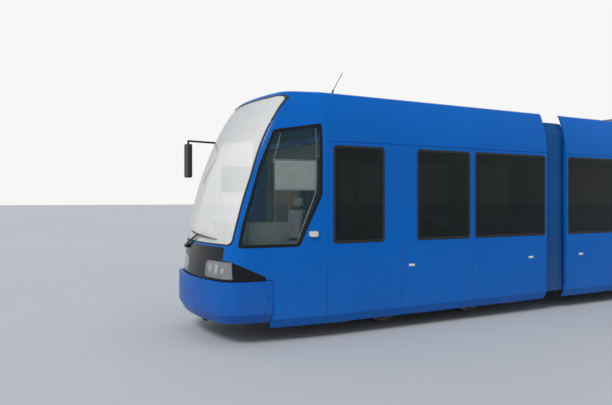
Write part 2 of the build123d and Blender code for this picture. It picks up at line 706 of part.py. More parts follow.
def make_driver_seat():
    """Driver's seat on its pedestal, with head-rest and arm-rests."""
    x, y = NOSE_X + 1330, -250
    pieces = [
        block(x - 230, x + 230, y - 240, y + 240, 1090, 1190),
        side_prism([(x + 150, 1150), (x + 250, 1150), (x + 340, 1830), (x + 240, 1830)], y - 230, y + 230),
        side_prism([(x + 245, 1800), (x + 330, 1800), (x + 355, 1990), (x + 275, 1990)], y - 130, y + 130),
        block(x - 90, x + 90, y - 90, y + 90, CAB_FLOOR_Z + 1, 1100),
        block(x - 120, x + 250, y - 300, y - 238, 1330, 1380),
        block(x - 120, x + 250, y + 238, y + 300, 1330, 1380),
        block(x + 190, x + 250, y - 300, y - 225, 1150, 1380),
        block(x + 190, x + 250, y + 225, y + 300, 1150, 1380),
    ]
    return fused(pieces)


def make_partition():
    """Bulkhead behind the driver with a glazed door opening and a side light."""
    x0 = PARTITION_X
    plate = block(x0, x0 + 40, -FLOOR_HALF, FLOOR_HALF, FLOOR_TOP + 1, CANTRAIL_Z - 1)
    for y0, y1 in ((-950, -120), (60, 900)):
        plate -= block(x0 - 5, x0 + 45, y0, y1, 1350, 2550)
    return plate


MIRROR_ARM_Z = 2880


def make_mirror():
    """Exterior mirror on its bent arm, from a foot on the right-hand windscreen pillar."""
    x, y = NOSE_X + 330, 1085
    arm = tube_between((NOSE_X + 850, 930, MIRROR_ARM_Z - 30), (x, y, MIRROR_ARM_Z), 16) - outer_nose
    drop = tube_between((x, y, MIRROR_ARM_Z + 10), (x, y, MIRROR_ARM_Z - 70), 16)
    housing = block(x - 35, x + 35, y - 100, y + 100, MIRROR_ARM_Z - 590, MIRROR_ARM_Z - 50)
    housing = fillet(housing.edges().filter_by(Axis.X), 45)
    return arm + drop + housing


ANTENNA_Y = -850


def make_antenna():
    """Whip antenna leaning back from a domed foot on the cab's roof cap."""
    x, y, z = CAB_SEAM_X + 255, ANTENNA_Y, ROOF_EDGE_Z
    foot = Pos(x, y, z + 1) * Cone(45, 28, 22, align=(Align.CENTER, Align.CENTER, Align.MIN))
    stem = tube_between((x, y, z + 10), (x + 30, y, z + 80), 12)
    whip = tube_between((x + 25, y, z + 70), (x + 185, y, z + 340), 5)
    return foot + stem + whip


SIDE_LAMP_X = NOSE_X + 1393
SIDE_LAMP_Z = 1465


def make_side_lamps():
    """Turn indicators ahead of the seam, one on each side."""
    lamp = rounded_side_prism(
        SIDE_LAMP_X - 62, SIDE_LAMP_X + 62, SIDE_LAMP_Z - 38, SIDE_LAMP_Z + 38, 25, 1120, HALF_WIDTH + 14
    )
    lamp = lamp - outer_nose
    return [lamp, other_side(lamp)]


# Roof equipment
UNIT_TOP_Z = 3330


def louvred_unit(x0, x1, half, z0, z1, slots):
    """Equipment housing with chamfered shoulders and cooling slots along both sides."""
    unit = block(x0, x1, -half, half, z0, z1)
    unit = chamfer(unit.edges().group_by(Axis.Z)[-1], 60)
    pitch = (x1 - x0 - 200) / slots
    for index in range(slots):
        start = x0 + 100 + pitch * (index + 0.2)
        unit -= block(start, start + pitch * 0.6, half - 25, half + 10, z0 + 80, z1 - 110)
        unit -= block(start, start + pitch * 0.6, -half - 10, -half + 25, z0 + 80, z1 - 110)
    return unit


# Pantograph on the middle section: knee to the rear, head above the base
PANTO_BASE_X = -100
PANTO_PIVOT_Z = 3380
BASE_RAIL_Z = PANTO_PIVOT_Z - 160
BASE_RAIL_TOP_Z = BASE_RAIL_Z + 70
LOWER_ARM = 1500
UPPER_ARM = 1650
LOWER_ELEVATION = 5
UPPER_ELEVATION = 3


def polar(origin, length, elevation, forward):
    """A point at a distance along a rising line, forward (-X) or backward (+X)."""
    step = Vector(length, 0, 0).rotate(Axis.Y, -elevation)
    return (origin[0] + (-step.X if forward else step.X), origin[1] + step.Z)


KNEE = polar((PANTO_BASE_X, PANTO_PIVOT_Z), LOWER_ARM, LOWER_ELEVATION, forward=False)
HEAD = polar(KNEE, UPPER_ARM, UPPER_ELEVATION, forward=True)


def make_pantograph_base():
    """Base frame on four insulators, with the lower pivot's two lugs."""
    pieces = []
    for y in (-520, 520):
        pieces.append(block(PANTO_BASE_X - 450, PANTO_BASE_X + 750, y - 35, y + 35, BASE_RAIL_Z, BASE_RAIL_TOP_Z))
        for x in (PANTO_BASE_X - 400, PANTO_BASE_X + 700):
            pieces.append(Pos(x, y, (DECK_Z + BASE_RAIL_Z + 10) / 2) * Cylinder(55, BASE_RAIL_Z + 10 - DECK_Z))
    for x in (PANTO_BASE_X - 380, PANTO_BASE_X, PANTO_BASE_X + 680):
        pieces.append(block(x - 35, x + 35, -520, 520, BASE_RAIL_Z, BASE_RAIL_TOP_Z))
    for y in (-260, 260):
        lug = side_prism(
            [(PANTO_BASE_X - 60, PANTO_PIVOT_Z - 100), (PANTO_BASE_X + 60, PANTO_PIVOT_Z - 100),
             (PANTO_BASE_X + 40, PANTO_PIVOT_Z + 40), (PANTO_BASE_X - 40, PANTO_PIVOT_Z + 40)], y - 18, y + 18)
        pieces.append(lug)
    base = fused(pieces)
    return base - Pos(PANTO_BASE_X, 0, PANTO_PIVOT_Z) * Rot(90, 0, 0) * Cylinder(23, 1200)


def make_lower_arm():
    """Lower arm: a cross shaft in the base lugs and a heavy tapering tube to the knee."""
    shaft = tube_between((PANTO_BASE_X, -330, PANTO_PIVOT_Z), (PANTO_BASE_X, 330, PANTO_PIVOT_Z), 22)
    boss = tube_between((PANTO_BASE_X, -225, PANTO_PIVOT_Z), (PANTO_BASE_X, 225, PANTO_PIVOT_Z), 40)
    tube = tube_between((PANTO_BASE_X, 0, PANTO_PIVOT_Z), (KNEE[0], 0, KNEE[1]), 45)
    knee = tube_between((KNEE[0], -60, KNEE[1]), (KNEE[0], 60, KNEE[1]), 60)
    bore = tube_between((KNEE[0], -80, KNEE[1]), (KNEE[0], 80, KNEE[1]), 23)
    return shaft + boss + tube + knee - bore


def make_upper_arm():
    """Upper arm: a fork at the knee, and two tubes that meet at the head."""
    pieces = [tube_between((KNEE[0], -110, KNEE[1]), (KNEE[0], 110, KNEE[1]), 22)]
    for side in (-1, 1):
        cheek = side * 85
        pieces.append(tube_between((KNEE[0], cheek - 15, KNEE[1]), (KNEE[0], cheek + 15, KNEE[1]), 48))
        pieces.append(tube_between((KNEE[0], cheek, KNEE[1]), (HEAD[0] + 60, side * 200, HEAD[1]), 20))
    pieces.append(tube_between((HEAD[0] + 60, -230, HEAD[1]), (HEAD[0] + 60, 230, HEAD[1]), 20))
    pieces.append(tube_between((HEAD[0], -330, HEAD[1]), (HEAD[0], 330, HEAD[1]), 14))
    for side in (-1, 1):
        pieces.append(block(HEAD[0] - 15, HEAD[0] + 70, side * 190 - 12, side * 190 + 12, HEAD[1] - 22, HEAD[1] + 22))
    return fused(pieces)


def make_pantograph_head():
    """Collector head: two contact strips with down-turned horns on a level frame."""
    pieces = []
    for x in (HEAD[0] - 180, HEAD[0] + 180):
        pieces.append(block(x - 18, x + 18, -520, 520, HEAD[1] + 90, HEAD[1] + 120))
        for side in (-1, 1):
            pieces.append(tube_between((x, side * 510, HEAD[1] + 104), (x, side * 800, HEAD[1] - 20), 14))
    for side in (-1, 1):
        y = side * 290
        pieces.append(block(HEAD[0] - 195, HEAD[0] + 195, y - 12, y + 12, HEAD[1] + 60, HEAD[1] + 92))
        pieces.append(block(HEAD[0] - 35, HEAD[0] + 35, y - 12, y + 12, HEAD[1] - 35, HEAD[1] + 70))
    head = fused(pieces)
    return head - tube_between((HEAD[0], -400, HEAD[1]), (HEAD[0], 400, HEAD[1]), 15)


# Shared pieces of the front end are mirrored for the tail
front_walls = make_side_walls(CAB_SEAM_X, SECTION_END_X, END_OPENINGS)
front_roof = make_roof(CAB_SEAM_X, SECTION_END_X, [PIVOT_X], CAB_CAP_END)
front_panes = make_windows(END_OPENINGS)
front_door = make_doors(END_OPENINGS)
front_underframe = make_end_underframe()
front_seats = [make_seat(row) for row in END_SEATS]
front_handrails = make_handrails(END_POLES)
bumper = make_bumper()
bogie = make_bogie()
gangway = make_gangway()
wheelset = [make_wheelset(BOGIE_X - WHEELBASE / 2), make_wheelset(BOGIE_X + WHEELBASE / 2)]

save("cab_shell", end_shell)
save("windscreen", end_screen)
save("cab_side_windows", end_windows)
save("headlamp_panel", end_panel)
save("headlamps", end_lamps)
save("front_bumper", bumper)
save("driver_desk", make_desk())
save("driver_seat", make_driver_seat())
save("cab_partition", make_partition())
save("mirror", make_mirror())
save("antenna", make_antenna())
save("turn_indicators", make_side_lamps())

save("front_side_walls", front_walls)
save("front_roof", front_roof)
save("front_windows", front_panes)
save("front_door", front_door)
save("front_underframe", front_underframe)
save("front_seats", front_seats)
save("front_handrails", front_handrails)
save("front_bogie", bogie)
save("front_gangway", gangway)
save("wheelset_1", wheelset[0])
save("wheelset_2", wheelset[1])

save("tail_shell", other_end(end_shell))
save("tail_screen", other_end(end_screen))
save("tail_side_windows", other_end(end_windows))
save("tail_lamp_panel", other_end(end_panel))
save("tail_lamps", other_end(end_lamps))
save("rear_bumper", other_end(bumper))
save("rear_side_walls", [other_end(wall) for wall in front_walls])
save("rear_roof", other_end(front_roof))
save("rear_windows", [other_end(piece) for piece in front_panes])
save("rear_door", [other_end(piece) for piece in front_door])
save("rear_underframe", [other_end(piece) for piece in front_underframe])
save("rear_seats", [other_end(seat) for seat in front_seats])
save("rear_handrails", [other_end(rail) for rail in front_handrails])
save("rear_bogie", other_end(bogie))
save("rear_gangway", other_end(gangway))
save("wheelset_3", other_end(wheelset[1]))
save("wheelset_4", other_end(wheelset[0]))

middle_start = PIVOT_X + GANGWAY_GAP
save("middle_side_walls", make_side_walls(middle_start, -middle_start, MIDDLE_OPENINGS))
save("middle_roof", make_roof(middle_start, -middle_start, [PIVOT_X, -PIVOT_X]))
save("middle_windows", make_windows(MIDDLE_OPENINGS))
save("middle_doors", make_doors(MIDDLE_OPENINGS))
save("middle_underframe", make_middle_underframe())
save("middle_seats", [make_seat(row) for row in MIDDLE_SEATS])
save("middle_handrails", make_handrails(MIDDLE_POLES))

cooling_unit = louvred_unit(-7950, -6150, 780, DECK_Z, UNIT_TOP_Z, 6)
supply_unit = louvred_unit(-5900, -5150, 640, DECK_Z, UNIT_TOP_Z - 80, 3)
save("front_roof_unit", [cooling_unit, supply_unit])
save("rear_roof_unit", [other_end(cooling_unit), other_end(supply_unit)])
save("middle_roof_unit", louvred_unit(-3200, -1500, 780, DECK_Z, UNIT_TOP_Z, 5))
save("pantograph_base", make_pantograph_base())
save("pantograph_lower_arm", make_lower_arm())
save("pantograph_upper_arm", make_upper_arm())
save("pantograph_head", make_pantograph_head())
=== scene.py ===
# %% [markdown]
# # An articulated low-floor tram, dressed over its CAD frame
#
# The heavy forms of the tram come from a CAD model: body shell, glass, doors, bogies, pantograph. This lesson
# gives each of them a finish, then adds what a coach builder adds last: rubber seals, window borders, lamps,
# wipers, seats and roof details. Everything is in metres. Forward is -X, the door side is +Y, up is +Z.

import math

import bmesh
import bpy
import numpy as np
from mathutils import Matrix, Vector


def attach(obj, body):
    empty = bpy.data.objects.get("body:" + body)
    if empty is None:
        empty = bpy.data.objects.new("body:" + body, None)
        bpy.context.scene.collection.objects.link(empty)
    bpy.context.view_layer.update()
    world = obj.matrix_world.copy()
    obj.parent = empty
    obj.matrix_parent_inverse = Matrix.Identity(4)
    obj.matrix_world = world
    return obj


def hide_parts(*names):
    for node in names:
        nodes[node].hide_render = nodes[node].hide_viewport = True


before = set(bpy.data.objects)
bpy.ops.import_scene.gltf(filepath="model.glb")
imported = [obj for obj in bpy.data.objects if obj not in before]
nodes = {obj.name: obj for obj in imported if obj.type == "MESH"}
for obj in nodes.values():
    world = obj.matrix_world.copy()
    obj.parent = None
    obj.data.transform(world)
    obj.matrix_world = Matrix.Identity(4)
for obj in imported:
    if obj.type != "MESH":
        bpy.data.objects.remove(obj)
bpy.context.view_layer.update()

# %% [markdown]
# ## Camera
#
# The picture was taken from beside the track, ahead of the tram, at about standing height. A camera can be
# matched by eye, but a street vehicle has so many level lines that its place can be worked out from them: the
# roof edge, the sill and the skirt all run to one vanishing point. The numbers below are the result.

# %% Camera
IMAGE_WIDTH, FOCAL_PIXELS, HORIZON_SHIFT, SENSOR = 612, 600, -2.5, 36


def placed_object(name, data, pointing):
    """A camera or lamp in the scene that looks along a direction."""
    thing = bpy.data.objects.new(name, data)
    bpy.context.scene.collection.objects.link(thing)
    thing.rotation_mode = "QUATERNION"
    thing.rotation_quaternion = Vector(pointing).to_track_quat("-Z", "Y")
    return thing


def make_camera(place, looking):
    """A camera at a place, level, looking along a horizontal direction."""
    data = bpy.data.cameras.new("street_camera")
    data.sensor_width = SENSOR
    data.lens = SENSOR * FOCAL_PIXELS / IMAGE_WIDTH
    data.shift_y = HORIZON_SHIFT / IMAGE_WIDTH
    data.clip_end = 300
    camera = placed_object("street_camera", data, looking)
    camera.location = place
    bpy.context.scene.camera = camera
    print("camera lens", round(data.lens, 2), "mm")


make_camera((-12.845, -8.296, 1.93), (0.4802, 0.8771, 0))

# %% [markdown]
# ## Light
#
# Lacquer and glass show what surrounds them, so the light matters more here than on a matt object. A single
# lamp gives hard spots. A pale world all round gives an even level at which a colour looks as it is written,
# and one very soft sun from the upper left draws the crease, the window edges and the shadow on the ground.
# A sky is a small graph of nodes, as a material is, so the helper that adds a node comes first.

# %% World and sun
def wire(tree, value, socket):
    """Links a pair (node, output) to a socket, or sets the socket to a plain value."""
    if isinstance(value, tuple) and isinstance(value[0], bpy.types.Node):
        tree.links.new(value[0].outputs[value[1]], socket)
    else:
        socket.default_value = value


def add(tree, kind, **inputs):
    """A shader node with its inputs wired, by name or as _number. A lower-case name is a property instead."""
    node = tree.nodes.new(kind)
    for name, value in inputs.items():
        if name[0].islower():
            setattr(node, name, value)
        else:
            wire(tree, value, node.inputs[int(name[1:])] if name[0] == "_" else node.inputs[name.replace("_", " ")])
    return node


def make_world(level):
    """An even sky for the light. What the camera and clear glass see of it is a little whiter."""
    world = bpy.context.scene.world = bpy.data.worlds.new("studio_sky")
    world.use_nodes = True
    tree = world.node_tree
    tree.nodes.clear()
    sky = add(tree, "ShaderNodeBackground", Color=(0.95, 0.97, 1.0, 1), Strength=level)
    seen = add(tree, "ShaderNodeBackground", Color=(0.93, 0.93, 0.92, 1), Strength=1.0)
    path = add(tree, "ShaderNodeLightPath")
    direct = add(tree, "ShaderNodeMath", operation="MAXIMUM", _0=(path, "Is Camera Ray"),
                 _1=(path, "Is Transmission Ray"))
    choose = add(tree, "ShaderNodeMixShader", _0=(direct, 0), _1=(sky, 0), _2=(seen, 0))
    add(tree, "ShaderNodeOutputWorld", Surface=(choose, 0))


def make_sun(pointing, strength, softness):
    """A sun lamp pointing along a direction. Softness is its apparent size in degrees."""
    data = bpy.data.lights.new("soft_sun", "SUN")
    data.energy, data.angle = strength, math.radians(softness)
    placed_object("soft_sun", data, pointing)


make_world(0.66)
make_sun((0.80, 0.50, -0.95), 1.75, 20)
bpy.context.scene.view_settings.view_transform = "Standard"
print("sky and one soft sun")

# %% [markdown]
# ## Surfaces from arrays
#
# Every new piece below is a surface worked out with numpy. Three ideas cover nearly all of them:
# a grid of points (a function of two parameters), a profile carried along a path, and a profile turned round
# an axis. All points of a piece are computed at once, then handed to Blender in one call.

# %% From arrays to a piece
WELD = 0.00005
FINISHES = {}


def grid_faces(rows, columns, close_rows=False, close_columns=False):
    """Quads between neighbouring points of a grid. A closed direction joins its last line to its first."""
    r = np.arange(rows if close_rows else rows - 1)
    c = np.arange(columns if close_columns else columns - 1)
    r, c = (a.ravel() for a in np.meshgrid(r, c, indexing="ij"))
    r1, c1 = (r + 1) % rows, (c + 1) % columns
    return np.stack([r * columns + c, r1 * columns + c, r1 * columns + c1, r * columns + c1], axis=1)


def new_mesh(name, points, faces, smooth=True):
    """Mesh object from a list of points and a list of faces."""
    mesh = bpy.data.meshes.new(name)
    mesh.from_pydata(np.asarray(points, float).reshape(-1, 3).tolist(), [], [list(map(int, f)) for f in faces])
    mesh.validate()
    mesh.polygons.foreach_set("use_smooth", np.full(len(mesh.polygons), smooth))
    piece = bpy.data.objects.new(name, mesh)
    bpy.context.scene.collection.objects.link(piece)
    return piece


def read_array(items, name, width, kind=int):
    """One property of all items of a mesh, as an array of rows."""
    values = np.zeros(len(items) * width, kind)
    items.foreach_get(name, values)
    return values.reshape(-1, width)


def shell_numbers(count, edges):
    """One number for each connected shell: the lowest vertex number spreads along the edges until it rests."""
    number = np.arange(count)
    while True:
        low = np.minimum(*number[edges.T])
        spread = number.copy()
        for ends in edges.T:
            np.minimum.at(spread, ends, low)
        spread = spread[spread]
        if np.array_equal(spread, number):
            return number
        number = spread


def turn_outwards(piece):
    """Makes the faces of each shell agree. A shell that then encloses a negative volume is turned over."""
    mesh = piece.data
    work = bmesh.new()
    work.from_mesh(mesh)
    bmesh.ops.remove_doubles(work, verts=work.verts, dist=WELD)
    bmesh.ops.recalc_face_normals(work, faces=work.faces)
    work.to_mesh(mesh)
    work.free()
    mesh.calc_loop_triangles()
    points = read_array(mesh.vertices, "co", 3, float)
    corners = read_array(mesh.loop_triangles, "vertices", 3)
    owner = read_array(mesh.loop_triangles, "polygon_index", 1)[:, 0]
    count = len(points)
    shell = shell_numbers(count, read_array(mesh.edges, "vertices", 2))
    size = np.bincount(shell, minlength=count).clip(1)[:, None]
    middle = np.stack([np.bincount(shell, points[:, k], count) for k in range(3)], axis=1) / size
    home = shell[corners[:, 0]]
    a, b, c = (points[corners[:, k]] - middle[home] for k in range(3))
    volume = np.bincount(home, (a * np.cross(b, c)).sum(1) / 6, count)
    for face in np.unique(owner[volume[home] < 0]):
        mesh.polygons[int(face)].flip()
    mesh.update()
    return piece


def many(patches):
    """Several (points, faces) patches as one list of points and one of faces."""
    points, faces, start = [], [], 0
    for patch_points, patch_faces in patches:
        points.append(np.asarray(patch_points, float).reshape(-1, 3))
        faces += [[int(i) + start for i in f] for f in patch_faces]
        start += len(points[-1])
    return np.concatenate(points), faces


def mirrored(patches):
    """The same patches mirrored to the tail, with their faces turned over to stay outwards."""
    return [(np.asarray(p).reshape(-1, 3) * (-1, 1, 1), [list(f)[::-1] for f in faces]) for p, faces in patches]


def dress(piece, body, material):
    """Gives a finished piece its material and lets it ride on a body of the frame."""
    piece.data.materials.clear()
    piece.data.materials.append(FINISHES[material])
    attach(piece, body)
    print(piece.name, len(piece.data.polygons), "faces on", body)
    return piece


def build(name, patches, body, material, smooth=True):
    """One piece from patches: closed, facing outwards, with its material, riding on its body."""
    return dress(turn_outwards(new_mesh(name, *many(patches), smooth)), body, material)


print("mesh helpers ready")

# %% [markdown]
# ## Closed solids from rings
#
# A rod, a lamp bowl and a rounded box have one thing in common: each is a row of rings with walls between
# them and a cap at both ends. So one helper closes them all, and the others only say where the rings are.

# %% Rods, turned pieces and soft boxes
Z_AXIS = (0.0, 0.0, 1.0)
NEARLY_ALONG, ALONG = 0.8, 0.97


def tube_patch(rings):
    """A solid from rings of points (rings, points, 3): walls between the rings and a fan at each end."""
    rings = np.asarray(rings, float)
    count, size = rings.shape[:2]
    around = np.arange(size)
    after = (around + 1) % size
    foot = np.stack([np.full(size, count * size), after, around], axis=1)
    top = np.stack([np.full(size, count * size + 1), around + (count - 1) * size, after + (count - 1) * size], axis=1)
    centres = np.array([rings[0].mean(0), rings[-1].mean(0)])
    faces = grid_faces(count, size, close_columns=True).tolist() + foot.tolist() + top.tolist()
    return np.concatenate([rings.reshape(-1, 3), centres]), faces


def frame_along(path, closed=False):
    """Unit tangents of a path, and two directions square to them that turn as little as the path allows.
    Where the path runs along the helper direction, the direction that it runs along least takes over."""
    tangent = np.roll(path, -1, 0) - np.roll(path, 1, 0) if closed else np.gradient(path, axis=0)
    tangent /= np.linalg.norm(tangent, axis=1)[:, None]
    helper = np.array(Z_AXIS if abs(tangent[:, 2]).mean() < NEARLY_ALONG else (0.0, 1.0, 0.0))
    if np.abs(tangent @ helper).max() > ALONG:
        helper = np.linalg.svd(tangent, full_matrices=False)[2][-1]
        helper *= np.sign(helper[np.abs(helper).argmax()])
    across = np.cross(tangent, helper)
    across /= np.linalg.norm(across, axis=1)[:, None]
    return tangent, across, np.cross(across, tangent)


def rod_patch(path, radius, size=12, closed=False):
    """Round rod along a path, or along a closed path. The radius is one number or one for each point."""
    path = np.asarray(path, float)
    radius = np.broadcast_to(np.asarray(radius, float), (len(path),))
    _, across, up = frame_along(path, closed)
    t = np.linspace(0, 2 * np.pi, size, endpoint=False)
    circle = np.cos(t)[None, :, None] * across[:, None, :] + np.sin(t)[None, :, None] * up[:, None, :]
    rings = path[:, None, :] + radius[:, None, None] * circle
    if closed:
        return rings, grid_faces(len(path), size, close_rows=True, close_columns=True)
    return tube_patch(rings)


def square_to(axis, first=Z_AXIS, second=(1.0, 0.0, 0.0)):
    """Two directions square to an axis, from a helper direction that doesn't run along it."""
    across = np.cross(axis, first if abs(np.dot(axis, first)) < NEARLY_ALONG else second)
    across /= np.linalg.norm(across)
    return across, np.cross(across, axis)


def turned(profile, centre, axis, size):
    """Rings (points, size, 3) of a profile of (distance along the axis, radius) turned round the axis."""
    axis = np.asarray(axis, float)
    across, up = square_to(axis)
    along, radius = np.asarray(profile, float).T[:, :, None, None]
    t = np.linspace(0, 2 * np.pi, size, endpoint=False)[:, None]
    return (np.asarray(centre, float) + along * axis) + radius * (np.cos(t) * across + np.sin(t) * up)


def lathe_patch(profile, centre, axis=Z_AXIS, size=32):
    """A turned solid: its profile starts and ends at the axis, or gets flat ends."""
    return tube_patch(turned(profile, centre, axis, size))


def washer_patch(loop, centre, axis=Z_AXIS, size=36):
    """A closed loop of (distance along the axis, radius) turned round the axis: a ring with a hole."""
    return turned(loop, centre, axis, size).swapaxes(0, 1), grid_faces(size, len(loop), True, True)


def soft_box_patch(low, high, corner, steps=4):
    """Box with rounded edges: rounded-rectangle rings, drawn in at both ends by a quarter circle."""
    low, high = np.asarray(low, float), np.asarray(high, float)
    middle, half = (low + high) / 2, (high - low) / 2
    corner = min(corner, *(half * 0.98))
    quarter = np.linspace(0, np.pi / 2, steps)
    lift = np.concatenate([-half[2] + corner - corner * np.cos(quarter), half[2] - corner + corner * np.sin(quarter)])
    draw_in = np.concatenate([corner * (1 - np.sin(quarter)), corner * (1 - np.cos(quarter))])
    t = (np.arange(4)[:, None] * np.pi / 2 + quarter[None, :]).ravel()
    radius = corner - draw_in[:, None] * 0.999
    x = np.repeat([1, -1, -1, 1], steps) * (half[0] - corner) + radius * np.cos(t)
    y = np.repeat([1, 1, -1, -1], steps) * (half[1] - corner) + radius * np.sin(t)
    return tube_patch(np.stack([x, y, np.broadcast_to(lift[:, None], x.shape)], axis=2) + middle)


def side_box(side, low, high, corner, steps=4):
    """A soft box on one side of the tram: its y limits are distances from the middle, in any order."""
    x, y, z = zip(low, high)
    x, y = sorted(x), sorted((side * y[0], side * y[1]))
    return soft_box_patch((x[0], y[0], z[0]), (x[1], y[1], z[1]), corner, steps)


print("array helpers ready")

# %% [markdown]
# ## Loops that lie on the bodywork
#
# Seals and borders follow the edge of an opening, and round the nose that edge is not flat. Drawing it point
# by point on a curved shell is slow and never sits well. Here each loop is drawn flat, as corners with a
# radius, then dropped straight onto the CAD surface, like a stencil laid over it.

# %% Stencil loops
PARALLEL, EDGE_SLACK = 1e-12, 1e-6
EASED_WIDTH, EASED_HEIGHT = 0.12, 0.7


def rounded_loop(corners, radius, bend=8, run=12):
    """Closed outline through rounded corners: a quadratic curve at each corner, straight runs between them."""
    corners = np.asarray(corners, float)
    before = np.roll(corners, 1, 0) - corners
    after = np.roll(corners, -1, 0) - corners
    start = corners + before * (radius / np.linalg.norm(before, axis=1))[:, None]
    end = corners + after * (radius / np.linalg.norm(after, axis=1))[:, None]
    t = np.linspace(0, 1, bend)[None, :, None]
    turn = (1 - t) ** 2 * start[:, None] + 2 * t * (1 - t) * corners[:, None] + t ** 2 * end[:, None]
    s = np.linspace(0, 1, run + 2)[None, 1:-1, None]
    straight = (1 - s) * end[:, None] + s * np.roll(start, -1, 0)[:, None]
    return np.concatenate([turn, straight], axis=1).reshape(-1, 2)


def inset_corners(corners, distance):
    """The outline's corners after every side has moved inwards: neighbouring moved sides are crossed again."""
    corners = np.asarray(corners, float)
    side = np.roll(corners, -1, 0) - corners
    side /= np.linalg.norm(side, axis=1)[:, None]
    area = np.sum(corners[:, 0] * np.roll(corners[:, 1], -1) - np.roll(corners[:, 0], -1) * corners[:, 1])
    inwards = np.stack([-side[:, 1], side[:, 0]], axis=1) * np.sign(area)
    last, last_in = np.roll(side, 1, 0), np.roll(inwards, 1, 0)
    shift = (inwards - last_in) * distance
    cross = last[:, 0] * side[:, 1] - last[:, 1] * side[:, 0]
    step = (shift[:, 0] * side[:, 1] - shift[:, 1] * side[:, 0]) / cross
    return corners + last_in * distance + last * step[:, None]


def triangles_of(*names):
    """Corner points of all triangles of some CAD nodes, as an array (triangles, 3, 3)."""
    found = []
    for name in names:
        mesh = nodes[name].data
        mesh.calc_loop_triangles()
        found.append(read_array(mesh.vertices, "co", 3, float)[read_array(mesh.loop_triangles, "vertices", 3)])
    return np.concatenate(found)


def drop_onto(starts, direction, triangles):
    """Where rays from the starts first meet the triangles, the surface direction there, and which ones hit.
    Each ray and triangle pair is solved by Cramer's rule; the nearest crossing wins. A miss keeps the start's
    own place and takes the ray's direction, turned back."""
    starts, direction = np.asarray(starts, float), np.asarray(direction, float)
    a, edge1, edge2 = triangles[:, 0], triangles[:, 1] - triangles[:, 0], triangles[:, 2] - triangles[:, 0]
    h = np.cross(direction, edge2)
    det = np.einsum("ij,ij->i", edge1, h)
    usable = np.abs(det) > PARALLEL
    a, edge1, edge2, h, det = (values[usable] for values in (a, edge1, edge2, h, det))
    s = starts[:, None, :] - a[None]
    u = np.einsum("ijk,jk->ij", s, h) / det
    q = np.cross(s, edge1[None])
    v = q @ direction / det
    t = np.einsum("ijk,jk->ij", q, edge2) / det
    t = np.where((u >= -EDGE_SLACK) & (v >= -EDGE_SLACK) & (u + v <= 1 + EDGE_SLACK) & (t > 0), t, np.inf)
    nearest = t.argmin(axis=1)
    distance = t[np.arange(len(starts)), nearest]
    hit = np.isfinite(distance)
    normal = np.cross(edge1, edge2)[nearest]
    normal /= np.linalg.norm(normal, axis=1)[:, None]
    normal *= -np.sign(normal @ direction)[:, None]
    normal = np.where(hit[:, None], normal, -direction)
    return starts + np.where(hit, distance, 0)[:, None] * direction, normal, hit


def smooth_along(values, width=5):
    """Average of each value with its neighbours along a closed loop, made unit length again."""
    total = sum(np.roll(values, k, 0) for k in range(-width, width + 1))
    return total / np.linalg.norm(total, axis=-1, keepdims=True)


def band_patch(outer, inner, normal, thickness):
    """Closed flat band between two loops that lie on a surface, a thickness high, with eased upper edges."""
    top = np.asarray(normal, float) * thickness
    edge = (inner - outer) * EASED_WIDTH
    low = top * EASED_HEIGHT
    lines = [outer, outer + low, outer + edge + top, inner - edge + top, inner + low, inner]
    return np.stack(lines, axis=1), grid_faces(len(outer), 6, close_rows=True, close_columns=True)


print("loop helpers ready")

# %% [markdown]
# ## Finishes
#
# A finish could be one flat colour, but real paint, rubber and cloth vary a little everywhere, and that is
# what makes a model look solid. One small recipe serves most surfaces here: two near tones mixed by a soft
# noise, a roughness that wanders, and a fine bump. Road dust is a second layer, stronger towards the wheels.

# %% The finish recipe
DUST_TONE, DUST_TOP, DUST_FULL, DUST_MATT = (96, 92, 86), 1.3, 0.15, 0.5
DUST_PATCHES = dict(scale=6.0, low=0.35, high=1.0, detail=6.0)
ROUGHNESS_SCALE, THREAD_HEIGHT, FULL_WAVE = 2.3, 0.0012, 6.28
FLECKS = dict(scale=55.0, low=-1.6, high=1.0)


def tone(red, green, blue):
    """A colour given as it looks on a screen (0 to 255), turned into linear light."""
    value = np.array([red, green, blue]) / 255
    return tuple(np.where(value <= 0.04045, value / 12.92, ((value + 0.055) / 1.055) ** 2.4).tolist())


def noise_level(tree, place, scale, low, high, detail=3.0):
    """Noise over the surface, stretched so that it runs from low to high."""
    noise = add(tree, "ShaderNodeTexNoise", Vector=place, Scale=scale, Detail=detail)
    return (add(tree, "ShaderNodeMapRange", Value=(noise, "Fac"), _1=0.3, _2=0.7, _3=low, _4=high), "Result")


def blend_colours(tree, factor, *colours):
    """Mix of two colours. Each is a tuple of three numbers or a link."""
    first, second = (c if isinstance(c[0], bpy.types.Node) else (*c, 1) for c in colours)
    return (add(tree, "ShaderNodeMix", data_type="RGBA", _0=factor, _6=first, _7=second), 2)


def maths(tree, operation, first, second):
    """Two values or links combined."""
    return (add(tree, "ShaderNodeMath", operation=operation, _0=first, _1=second), 0)


